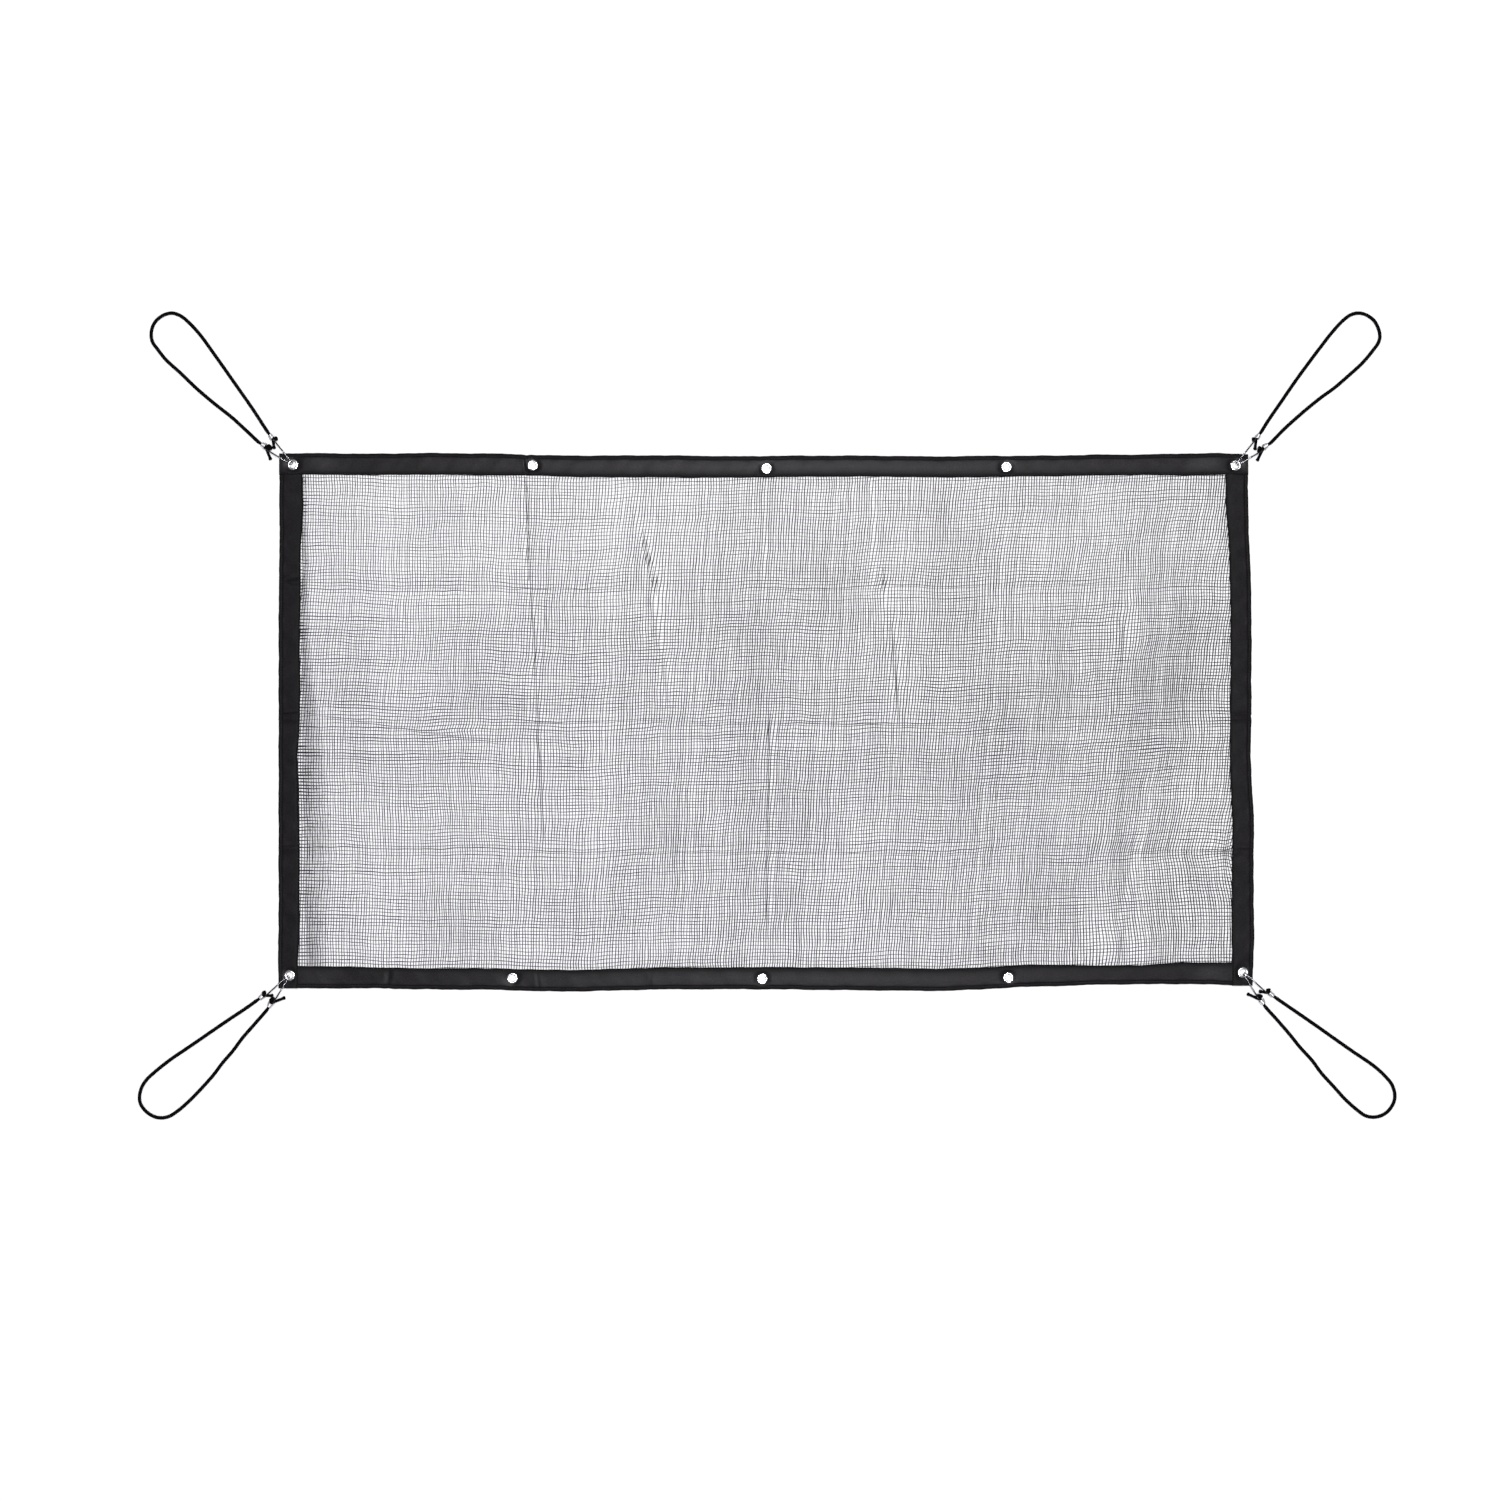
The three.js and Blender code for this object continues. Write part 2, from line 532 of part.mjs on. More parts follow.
// The cord: a tube on its route over the surface, with both ends inside their hooks' cones
function cordLoop(corner) {
  const lying = CORD_CLEAR + CORD_RADIUS;
  const [first, last] = corner.hooks.map((hook) => coneAxis(corner, hook));
  const ends = ({ start, axis }) =>
    [CORD_END_IN_CONE, 0, -CORD_LEAD].map((along) => start.clone().addScaledVector(axis, along));
  const route = corner.cord.slice(1, -1).map(([x, y]) => new THREE.Vector3(x, y, lying));
  const points = [...ends(first), ...route, ...ends(last).reverse()];
  return tube(new THREE.CatmullRomCurve3(points), CORD_RADIUS, CORD_SIDES, CORD_STEPS);
}

// A stopper knot: the cord's neck out of the cone, a turn around a core, and the tail on the surface
function stopperKnot(corner, hook) {
  const { start, end, axis, right } = coneAxis(corner, hook);
  const centre = end.clone().addScaledVector(axis, hook.knotAlong).addScaledVector(right, hook.knotAside);
  centre.setZ(SURFACE_CLEAR + KNOT_RADIUS);
  const neckStart = start.clone().addScaledVector(axis, CORD_END_IN_CONE + GAP);
  const neck = [neckStart, neckStart.clone().addScaledVector(axis, 2), centre];
  const tailEnd = new THREE.Vector3(hook.tail[0], hook.tail[1], SURFACE_CLEAR + TAIL_BULB_RADIUS);
  const tail = [centre, centre.clone().lerp(tailEnd, 0.5), tailEnd];
  const core = new THREE.SphereGeometry(KNOT_CORE, 7, 5).translate(...centre.toArray());
  const turn = new THREE.TorusGeometry(KNOT_RADIUS - KNOT_STRAND, KNOT_STRAND, 5, 8);
  turn.rotateX(KNOT_TILT).translate(...centre.toArray());
  const bulb = new THREE.SphereGeometry(TAIL_BULB_RADIUS, 6, 4).translate(...tailEnd.toArray());
  const solid = toSolid(tube(new StationCurve(neck), CORD_RADIUS, KNOT_SIDES, 2))
    .add(toSolid(tube(new StationCurve(tail), TAIL_RADIUS, KNOT_SIDES, 2)))
    .add(toSolid(core))
    .add(toSolid(turn))
    .add(toSolid(bulb));
  return toGeometry(solid);
}

const barrierNet = new THREE.Group();

function addPiece(parent, name, geometry, material) {
  const mesh = new THREE.Mesh(geometry, material);
  mesh.name = name;
  parent.add(mesh);
  return mesh;
}

function addNet() {
  addPiece(barrierNet, "net_panel", netPanel(), MATERIALS.net);
}

function addBindings() {
  const group = new THREE.Group();
  const inside = (low, high) => (place) => place > low && place < high;
  const longStations = (low, high) => {
    const keys = [...LONG_EDGES.map((row) => row.x), -545, -500, 515].filter(inside(low + 1, high - 1));
    return [low, ...keys.sort((a, b) => a - b), high];
  };
  const sideStations = (low, high) => {
    const creases = CROSS_CREASES.flatMap(({ y }) => [-1, 0, 1].map((n) => y + n * CREASE_HALF_WIDTH));
    const corners = [280, 268, -262, -284, SIDE_SLOT_END, SIDE_SLOT_END - 2];
    const keys = [...SIDE_EDGES.map((row) => row.y), ...creases, ...corners].filter(inside(low + 1, high - 1));
    return [low, ...keys.sort((a, b) => a - b), high];
  };
  const alongX = (station, across) => [station, across];
  const alongY = (station, across) => [across, station];
  const long = (side) => ({
    edgesAt: (x) => [longEdge(`${side}Outer`, x), longEdge(`${side}Inner`, x)],
    pointAt: alongX,
    liftAt: (x) => cornerLift(x, longEdge(`${side}Inner`, x)),
    slotAt: () => SLOT_DEPTH,
  });
  const upright = (side) => ({
    edgesAt: (y) => [sideEdge(`${side}Outer`, y), sideEdge(`${side}Inner`, y)],
    pointAt: alongY,
    liftAt: (y) => cornerLift(sideEdge(`${side}Inner`, y), y) + sideCreaseLift(side, y),
    slotAt: (y) => (y < SIDE_SLOT_END ? CLOSED_SLOT : SLOT_DEPTH),
  });
  const strips = [
    {
      name: "binding_top",
      ...long("top"),
      stations: longStations(LONG_EDGES[0].x, LONG_EDGES[LONG_EDGES.length - 1].x),
      eyelets: TOP_EYELETS,
    },
    {
      name: "binding_bottom",
      ...long("bottom"),
      stations: longStations(BOTTOM_LEFT_END, BOTTOM_RIGHT_END),
      eyelets: BOTTOM_EYELETS.slice(1, -1),
    },
    {
      name: "binding_left",
      ...upright("left"),
      stations: sideStations(LEFT_BOTTOM_END, SIDE_TOP_END),
      eyelets: [BOTTOM_EYELETS[0]],
    },
    {
      name: "binding_right",
      ...upright("right"),
      stations: sideStations(RIGHT_BOTTOM_END, SIDE_TOP_END),
      eyelets: [BOTTOM_EYELETS[4]],
    },
  ];
  for (const strip of strips) addPiece(group, strip.name, binding(strip), MATERIALS.tape);
  barrierNet.add(group);
}

function addEyelets() {
  const group = new THREE.Group();
  const rows = { top: TOP_EYELETS, bottom: BOTTOM_EYELETS };
  for (const [row, eyelets] of Object.entries(rows)) {
    eyelets.forEach(({ x, y, lift }, n) => {
      const ring = addPiece(group, `eyelet_${row}_${n + 1}`, eyeletRing(), MATERIALS.steel);
      ring.position.set(x, y, lift);
    });
  }
  barrierNet.add(group);
}

function addCorners() {
  for (const corner of CORNERS) {
    const group = new THREE.Group();
    // The hook that comes from the cord's side of the corner keeps to that side of the bore
    const outward = new THREE.Vector2(...corner.outward);
    corner.hooks.forEach((hook) => {
      const fromEyelet = new THREE.Vector2(hook.cord[0] - corner.eyelet.x, hook.cord[1] - corner.eyelet.y);
      const aside = Math.sign(fromEyelet.x * outward.y - fromEyelet.y * outward.x);
      addPiece(group, `hook_${corner.name}_${hook.name}`, hookWire(corner, hook, aside), MATERIALS.steel);
      addPiece(group, `knot_${corner.name}_${hook.name}`, stopperKnot(corner, hook), MATERIALS.cord);
    });
    addPiece(group, `cord_${corner.name}`, cordLoop(corner), MATERIALS.cord);
    barrierNet.add(group);
  }
}

addNet();
addBindings();
addEyelets();
addCorners();

export default barrierNet;
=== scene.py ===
"""Looks of a barrier net for dogs that lies flat on a pale floor.

The net is real thread, the binding a folded tape with its seams, and the metal and the cords are
swept along the same lines as the solids. Tables are in millimetres, and pieces are made in metres.
"""

import math
from collections import namedtuple

import bmesh
import bpy
import numpy as np
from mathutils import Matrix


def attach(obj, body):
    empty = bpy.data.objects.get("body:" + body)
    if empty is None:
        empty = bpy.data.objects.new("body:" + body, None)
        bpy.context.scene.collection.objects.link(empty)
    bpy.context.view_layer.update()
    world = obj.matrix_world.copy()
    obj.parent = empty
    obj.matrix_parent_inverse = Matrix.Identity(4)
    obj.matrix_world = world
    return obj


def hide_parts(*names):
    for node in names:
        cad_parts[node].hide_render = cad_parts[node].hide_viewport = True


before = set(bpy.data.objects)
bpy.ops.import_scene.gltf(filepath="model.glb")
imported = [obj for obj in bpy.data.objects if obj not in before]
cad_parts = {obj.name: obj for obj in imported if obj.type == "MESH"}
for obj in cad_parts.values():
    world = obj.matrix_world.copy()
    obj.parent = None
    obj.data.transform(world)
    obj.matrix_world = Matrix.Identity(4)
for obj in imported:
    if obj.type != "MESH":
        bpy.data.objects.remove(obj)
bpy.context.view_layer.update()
MM = 0.001

# The photo's frame: its width in metres and its centre on the floor
VIEW_WIDTH = 1.7745
VIEW_CENTRE = (-0.0191, -0.0329)
LENS = 85
SENSOR = 36

# Studio light: the sky's strength at the ceiling and the horizon, the height shares between which it
# changes, and the lamp overhead
CEILING_LIGHT = 0.22
HORIZON_LIGHT = 0.1
SKY_RISE = (0.05, 0.75)
LAMP_PLACE = (0.16, 0.2, 6.2)
LAMP_SIZE = (0.9, 2.8)
LAMP_WATTS = 415
LAMP_TINT = (0.985, 0.974, 1.01)
# The floor in metres: half its width, its depth below the part, and its own glow, which makes up for
# the lamp far off: where that begins and ends, and its strength there
FLOOR_HALF = 8
FLOOR_DROP = 0.0004
FLOOR_GLOW = (1.5, 8.0, 0.9)

GAP = 0.3
WIRE_RADIUS = 0.6
SURFACE_CLEAR = 0.1
# The corners lie on the hooks' wires: how high, and how far from the eyelet the lift is whole and gone
CORNER_LIFT = SURFACE_CLEAR + 2 * WIRE_RADIUS + GAP
LIFT_PLATEAU = 16
LIFT_REACH = 62

# Edges of the long strips, left to right
LONG_COLUMNS = ("x", "top_outer", "top_inner", "bottom_inner", "bottom_outer")
LONG_EDGES = np.array([
    (-575.6, 317.9, 292.4, -287.5, -314.6),
    (-528, 318.2, 292.6, -288.5, -315.0),
    (-457, 317.6, 292.2, -290.0, -315.0),
    (-410, 318.6, 292.8, -291.0, -316.2),
    (-315, 317.8, 291.7, -291.4, -316.7),
    (-267, 316.0, 291.5, -292.6, -318.5),
    (-220, 315.4, 289.6, -292.9, -318.6),
    (-126, 315.8, 289.5, -290.0, -316.2),
    (-31, 314.6, 289.0, -289.8, -316.0),
    (16, 315.3, 289.8, -289.8, -316.2),
    (111, 315.5, 290.5, -290.1, -317.3),
    (206, 314.4, 289.5, -291.4, -318.1),
    (253, 315.2, 289.6, -290.2, -316.3),
    (300, 315.2, 290.8, -287.4, -313.4),
    (348, 315.6, 290.8, -286.9, -312.2),
    (395, 316.7, 291.8, -287.9, -310.5),
    (442, 316.6, 292.2, -287.4, -310.2),
    (490, 317.9, 291.6, -284.0, -309.8),
    (537, 318.2, 292.4, -284.0, -310.6),
    (569.8, 316.9, 292.4, -284.2, -311.6),
])
# Edges of the side strips, bottom to top
SIDE_COLUMNS = ("y", "left_outer", "left_inner", "right_inner", "right_outer")
SIDE_EDGES = np.array([
    (-315, -576.4, -553.2, 550.6, 575.1),
    (-275, -577.5, -553.2, 550.6, 576.5),
    (-246, -576.8, -551.7, 550.4, 577.5),
    (-187, -576.8, -551.7, 550.5, 576.5),
    (-127, -576.8, -551.6, 551.4, 577.1),
    (-98, -576.8, -553.1, 550.4, 576.4),
    (-68, -576.8, -553.2, 549.1, 574.3),
    (-39, -576.8, -554.2, 548.1, 573.0),
    (-9, -576.7, -551.7, 548.6, 574.0),
    (50, -576.8, -550.6, 549.1, 574.1),
    (80, -576.8, -551.7, 549.2, 574.3),
    (139, -576.7, -550.4, 549.0, 574.1),
    (198, -575.8, -550.4, 547.6, 572.5),
    (227, -575.8, -549.0, 545.8, 570.7),
    (257, -575.8, -547.3, 543.4, 570.4),
    (292, -575.6, -548.3, 542.9, 569.8),
])

# Strips of tape: the axis that each runs along, the way from its outer edge inwards, its ends, and a
# number that makes its unevenness its own
Strip = namedtuple("Strip", "side along inward start end number")
STRIPS = [
    Strip("top", "x", -1, -575.6, 569.8, 0),
    Strip("bottom", "x", 1, -553.7, 551.1, 1),
    Strip("left", "y", 1, -314.6, 293.1, 2),
    Strip("right", "y", -1, -311.5, 293.1, 3),
]

# Creases that cross the whole net: their height in the net and in the two side strips
CROSS_CREASES = [
    dict(y=165, net=2.0, left=1.2, right=0.4),
    dict(y=6, net=1.8, left=0.9, right=0.9),
    dict(y=-149, net=2.0, left=0.9, right=1.0),
]
UPRIGHT_CREASES = [
    dict(x=-270, net=2.2, top=300, bottom=-135),
    dict(x=-128, net=2.4, top=165, bottom=20),
    dict(x=5, net=1.6, top=20, bottom=-130),
    dict(x=147, net=1.9, top=165, bottom=35),
    dict(x=418, net=2.2, top=170, bottom=-270),
]
CREASE_HALF_WIDTH = 9
CREASE_FADE = 45
# How a crease's height comes and goes along it, and how the slack net waves between creases
CREASE_SHARE = 0.7
CREASE_WAVES = [(97, 0.2), (41, 0.12)]
NET_WAVES = [(260, 0.35), (140, 0.25), (80, 0.12)]
NET_WAVE_REST = 0.5
# The net's height in the tape's fold, how far inside the tape it comes down, and where the sides begin
RIM_HEIGHT = 1.3
RIM_FALL = (1.5, 18)
SIDES_FROM = 500

EYELETS = {
    "eyelet_top_1": (-559.3, 304.2, CORNER_LIFT),
    "eyelet_top_2": (-276.2, 303.8, 0),
    "eyelet_top_3": (0.3, 300.1, 0),
    "eyelet_top_4": (284.2, 301.9, 0),
    "eyelet_top_5": (554.9, 303.4, CORNER_LIFT),
    "eyelet_bottom_1": (-563.2, -299.4, CORNER_LIFT),
    "eyelet_bottom_2": (-300.1, -302.7, 0),
    "eyelet_bottom_3": (-4.6, -303.4, 0),
    "eyelet_bottom_4": (286.5, -302.1, 0),
    "eyelet_bottom_5": (563.5, -295.8, CORNER_LIFT),
}
# A pressed ring's section as radius and height: bore, rolled front flange, barrel and back flange
RING_PROFILE = np.array([
    (4.0, 0.3), (4.0, 2.9), (4.12, 3.3), (4.4, 3.58), (4.9, 3.68), (5.5, 3.62), (6.05, 3.4),
    (6.45, 3.05), (6.66, 2.65), (6.68, 2.35), (6.4, 2.2), (5.2, 2.3), (4.7, 2.2), (4.7, 1.1),
    (5.2, 0.95), (6.5, 0.9), (6.7, 0.6), (6.5, 0.15), (6.0, 0.0), (4.6, 0.0), (4.2, 0.1),
])
RING_SIDES = 56
RING_SHARP = 40
FLANGE_RADIUS = 6.7
EYELET_HEIGHT = 3.6
HOLE_RADIUS = 5.4
HOLE_SIDES = 40
HOLE_REACH = (-6, 14)
# How far a flange draws the tape down, and how far past the flange that reaches
DIMPLE_DEPTH = 0.75
DIMPLE_REACH = (-0.6, 3.6)

# Corners: each hook's cord end, its knot's place along and beside the cone, its tail and the angle at
# which the wire leaves the cone, and the cord's route from hook a to hook b in metres
Corner = namedtuple("Corner", "name eyelet outward hooks route")
Hook = namedtuple("Hook", "name cord along aside tail leaves")
CORNERS = [
    Corner(
        "tl", "eyelet_top_1", (-1, 1),
        [
            Hook("a", (-586.7, 339.7), 2.4, -2.4, (-581.5, 322.8), 90),
            Hook("b", (-596.5, 328.8), 4.4, -0.9, (-585.6, 309.8), 45),
        ],
        [
            (-0.6076, 0.3710), (-0.6287, 0.4012), (-0.6499, 0.4313), (-0.6709, 0.4600), (-0.6861, 0.4758),
            (-0.6936, 0.4811), (-0.7026, 0.4837), (-0.7124, 0.4814), (-0.7215, 0.4744), (-0.7260, 0.4660),
            (-0.7271, 0.4570), (-0.7255, 0.4494), (-0.7191, 0.4404), (-0.7102, 0.4291), (-0.6921, 0.4125),
            (-0.6740, 0.3951), (-0.6528, 0.3770), (-0.6317, 0.3603), (-0.6136, 0.3438),
        ],
    ),
    Corner(
        "tr", "eyelet_top_5", (1, 1),
        [
            Hook("a", (582.8, 339.9), 2.7, 1.7, (577.9, 321.6), 90),
            Hook("b", (592.7, 327.7), 5.0, 0.3, (580.4, 308.6), 135),
        ],
        [
            (0.5932, 0.3558), (0.6098, 0.3800), (0.6264, 0.4041), (0.6430, 0.4268), (0.6566, 0.4449),
            (0.6702, 0.4622), (0.6823, 0.4751), (0.6913, 0.4816), (0.7004, 0.4837), (0.7094, 0.4816),
            (0.7185, 0.4751), (0.7237, 0.4660), (0.7257, 0.4570), (0.7242, 0.4494), (0.7170, 0.4389),
            (0.7049, 0.4246), (0.6883, 0.4094), (0.6717, 0.3951), (0.6551, 0.3831), (0.6339, 0.3657),
            (0.6129, 0.3469),
        ],
    ),
    Corner(
        "bl", "eyelet_bottom_1", (-1, -1),
        [
            Hook("a", (-598.8, -326.5), 2.6, -1.6, (-582.4, -323.4), 45),
            Hook("b", (-587.9, -336.6), 3.6, -0.2, (-568.4, -325.5), 60),
        ],
        [
            (-0.6165, -0.3392), (-0.6346, -0.3512), (-0.6588, -0.3678), (-0.6829, -0.3844),
            (-0.7041, -0.3988), (-0.7222, -0.4131), (-0.7327, -0.4229), (-0.7387, -0.4327),
            (-0.7410, -0.4433), (-0.7396, -0.4516), (-0.7327, -0.4607), (-0.7237, -0.4663),
            (-0.7146, -0.4679), (-0.7056, -0.4659), (-0.6950, -0.4591), (-0.6844, -0.4500),
            (-0.6708, -0.4364), (-0.6527, -0.4161), (-0.6437, -0.4040), (-0.6301, -0.3881),
            (-0.6196, -0.3739), (-0.6045, -0.3565),
        ],
    ),
    Corner(
        "br", "eyelet_bottom_5", (1, -1),
        [
            Hook("a", (599.7, -323.6), 3.0, 1.8, (582.4, -318.2), 135),
            Hook("b", (588.0, -333.1), 4.4, 0.4, (568.4, -321.0), 120),
        ],
        [
            (0.6186, -0.3369), (0.6427, -0.3535), (0.6684, -0.3716), (0.6941, -0.3897), (0.7182, -0.4062),
            (0.7317, -0.4183), (0.7401, -0.4289), (0.7434, -0.4410), (0.7419, -0.4500), (0.7355, -0.4598),
            (0.7272, -0.4652), (0.7174, -0.4670), (0.7084, -0.4652), (0.6986, -0.4583), (0.6850, -0.4462),
            (0.6714, -0.4312), (0.6564, -0.4147), (0.6457, -0.4002), (0.6307, -0.3837), (0.6186, -0.3686),
            (0.6035, -0.3512),
        ],
    ),
]
# Cords: half thickness in the cones, how much more the braid has in between, and the straight ends
CORD_RADIUS = 1.65
CORD_SWELL = 0.4
CORD_CLEAR = 0.2
CORD_LEAD = 4
CORD_END_IN_CONE = 3
CORD_STEP = 1.1
CORD_SIDES = 16
# The braid: its turns a millimetre, its strands each way and their relief
BRAID_TURNS = 0.28
BRAID_STRANDS = 4
BRAID_RELIEF = 0.06
# Hooks: the cone on the cord's end, the shank with its extra thickness, whose darker copy of the metal
# paints its shade and which ends some points before the wire does, its crest as a distance from the bore
# and a height, and the bend into the bore
CONE_LENGTH = 5.6
CONE_TURNS = 4.5
CONE_STEPS = 90
CONE_NARROW_RADIUS = CORD_RADIUS + GAP + WIRE_RADIUS
CONE_WIDE_RADIUS = {"a": 3.1, "b": 3.7}
WIRE_SIDES = 12
SHANK_EXTRA = 0.13
SHANK_END = 16
HOOK_CREST = (17, 7.5)
HOOK_BEND_RADIUS = 1.5
HOOK_RETURN = 5
HOOK_OUTWARD = 1.8
HOOK_ASIDE = 1.1
# Knots: the middle's height, the strand, its turns and their reach three ways at size 1, each hook's
# size, and the tail's bulb, with the distances from its end between which it grows
KNOT_LIFT = 2.9
KNOT_STRAND = 1.28
KNOT_TURNS = 1.8
KNOT_REACH = (1.5, 1.35, 0.85)
KNOT_SIZE = {"a": 1.05, "b": 1.5}
KNOT_SIDES = 14
KNOT_STEP = 0.4
TAIL_RADIUS = 1.7
TAIL_BULB_RADIUS = 2.3
BULB_GROWS = (1.2, 4)

# Net: the threads' half thickness, the points along each, and the level of each set at a crossing
WARP_RADIUS = 0.54
WEFT_RADIUS = 0.26
FOLD_RADIUS = 0.26
WARP_POINTS = 88
WEFT_POINTS = 218
THREAD_LEVEL = 0.06
NET_TUCK = 2
NET_MIDDLE = 0.5
NET_LEFT, NET_RIGHT, NET_BOTTOM, NET_TOP = -551, 548, -288, 291
SHORTEST_THREAD = 12

# Spacing of the upright threads along the top rim, and of the level ones up the left rim
WARP_PITCHES = [
    (-551, 3.05), (-390, 3.1), (-282, 3.25), (-174, 3.5), (-60, 3.15), (37, 3.05), (182, 3.25),
    (324, 3.2), (395, 2.95), (548, 3.1),
]
WEFT_PITCHES = [(-290, 4.15), (-150, 3.9), (0, 3.8), (160, 3.95), (290, 4.05)]
WARP_REACH = (-575, 602)
WEFT_REACH = (-322, 296)
PITCH_ERROR = 0.15
# How the upright threads lean to the right on their way down, in degrees: a row for each height,
# with the old folds of the net at 165, 5 and -152
LEAN_PLACES = (-516, -410, -303, -197, -90, 28, 147, 265, 371, 442, 513)
LEANS = [
    (290, (0, -1, -1, -2, -3, -2, -3, -4, -4, -5, -4)),
    (227, (-1, -3, -3, -5, -5, -4, -4, -7, -7, -7, -11)),
    (172, (2, 1, -3, -5, -4, -3, -5, -7, -6, -4, -6)),
    (156, (-10, -2, -2, -5, -1, -5, 0, 1, -8, 4, -2)),
    (121, (-4, -3, -5, -1, -4, -6, -5, -2, -5, -4, -10)),
    (50, (-5, -5, -4, -3, -5, -3, -4, -4, -1, -7, -4)),
    (9, (-4, -5, -4, -4, -6, -4, -3, -8, -5, -4, 3)),
    (-27, (1, 0, -3, 1, -3, -5, -3, -5, -8, -7, -6)),
    (-92, (1, 3, 0, -2, -3, -4, -3, -5, -8, -9, -7)),
    (-147, (0, 2, 0, -2, -3, -4, -5, -6, -7, -12, -17)),
    (-160, (0, -2, -2, -4, -2, -5, -6, -5, -6, -1, 14)),
    (-210, (-3, -1, -1, -4, -3, -4, -5, -4, -4, 11, 6)),
    (-290, (1, -1, -2, -2, -3, -2, -2, -3, 4, -3, -6)),
]
# How the level threads climb on their way to the right, in degrees
CLIMBS = [
    (-523, 0), (-463, -3), (-392, 2), (-318, -2.6), (-246, -1.3), (-174, 4.3), (-103, 0.4), (-33, 3.5),
    (38, -2.6), (110, 4.6), (182, -2.7), (253, 5.8), (324, -0.7), (395, 4), (460, 4), (515, 0),
]
FOLLOW_STEP = 1.5

# How the loose net wanders in its plane, and each thread by itself: the length and height of each wave
DRIFT_WAVES = [(120, 0.45), (66, 0.3), (39, 0.18), (24, 0.08)]
WANDER_WAVES = [(61, 0.16), (33, 0.14)]
# How the threads' thickness comes and goes over the net, the level ones where the upright ones thin out
PATCH_WAVES = [(150, 0.25), (85, 0.25), (48, 0.3), (27, 0.3)]
WARP_PATCH, WEFT_PATCH = 0.16, -0.36
WARP_UNEVEN, WEFT_UNEVEN = 0.12, 0.26
# The threads' thickness up the net and along it, as shares: the upright ones are thin at the left, and
# the level ones are thin at the top
WARP_UP = [(-290, 1.05), (-150, 1.05), (-60, 1.03), (20, 1.02), (120, 1.0), (200, 0.98), (290, 0.93)]
WEFT_UP = [(-290, 1.05), (-150, 1.05), (-60, 1.2), (20, 1.25), (120, 1.1), (200, 0.9), (290, 0.75)]
WARP_ALONG = [(-551, 0.84), (-400, 0.88), (-200, 0.97), (-100, 1.04), (50, 1.08), (330, 1.04), (548, 1.05)]
WEFT_ALONG = [(-551, 1.32), (-300, 1.22), (-100, 1.12), (100, 1.1), (250, 1.2), (548, 1.25)]
# Lines along which the threads are drawn together, or pushed apart where the pull is negative: the x and
# y of both ends, the pull and its width
GATHERS = [
    (-288, 290, -284, 165, -0.5, 2.5),
    (-278, 150, -264, -135, 0.9, 3),
    (-127, 150, -121, 85, -1.0, 3),
    (-121, 85, -116, 26, 0.9, 3.5),
    (0, 290, -2, 120, -0.55, 2.5),
    (4, 10, 0, -235, 0.7, 3.5),
    (10, 0, 6, -225, -0.5, 3),
    (126, 285, 130, 168, -0.7, 3),
    (148, 125, 157, 10, 1.1, 3.5),
    (426, 135, 418, 70, 0.7, 4),
    (443, -140, 420, -235, -0.7, 4),
    (-440, 159, -285, 159, 0.7, 3),
    (-285, 160, -215, 157, 1.2, 3),
    (-215, 157, -150, 157, 0.8, 3),
    (-551, 12, -325, -24, 1.0, 4),
    (-130, 0, 200, -4, 1.1, 4),
    (436, -152, 551, -152, 0.9, 4),
    (-280, -1, -130, 2, 0.9, 3),
    (-275, -154, 250, -155, 1.0, 3),
    (0, 157, 130, 157, 0.8, 3),
    (150, 160, 420, 163, 0.8, 3),
]
GATHER_UNEVEN = 0.35
GATHER_WAVES = [(53, 0.6), (23, 0.4)]
# How far past and before its end a gather begins
GATHER_FADE = (-14, 6)
# Tucks that draw the upright threads to one side: the x and y of the tuck's point, how far it slants to
# the right on its way down to it, how far it shifts them, and its reach left, right, up and down
TUCKS = [
    (-168, 262, 0.0, 2.5, 22, 22, 25, 25),
    (-129, 156, 0.3, -6, 55, 7, 80, 60),
    (141, 152, 0.2, -4.5, 50, 6, 26, 45),
    (428, 135, -0.3, 2.0, 6, 30, 16, 34),
    (411, -266, -0.2, 4, 45, 7, 32, 18),
    (-345, -9, 0.0, -3, 60, 14, 5, 7),
]
# The slant of every tuck below its point
TUCK_SLANT_BELOW = 0.08
# Threads that fill a tuck: the least slant of a filled one, their spacing and half thickness, the share
# of the tuck's reach that they take up, and how far each runs above and below its middle
MIN_FILLED_SLANT = 0.15
FILL_PITCH = 1.6
FILL_RADIUS = 0.32
FILL_SHARE = 0.75
FILL_ABOVE = 11
FILL_BELOW = 8
# Points that draw the threads in, or spread them where the draw is negative: x, y, reach and draw
STARS = [
    (-552, 165, 13, 0.3), (549, -152, 15, 0.35), (391, 64, 7, 0.2), (434, 103, 8, -0.08),
    (-509, 78, 13, -0.1),
]
# How far inside the tape the net begins to give way
HOLD = (-2, 8)
# A narrow pleat, with upright threads added along its line: its ends, width and threads
PLEAT_TOP, PLEAT_BOTTOM = (-284, 290), (-280, 168)
PLEAT_WIDTH = 4
PLEAT_THREADS = 3
# The left rim, where the net lies bunched: the middle of the bunch at each height, and its spread
HEM_LINE = [
    (-288, -540, 10), (-245, -540, 12), (-175, -541.5, 15), (-105, -542.7, 15), (-33, -544.4, 11.5),
    (38, -546.4, 7), (105, -547.5, 4.5), (290, -548, 3.5),
]
HEM_WAVES = [(120, 0.5), (53, 0.4)]
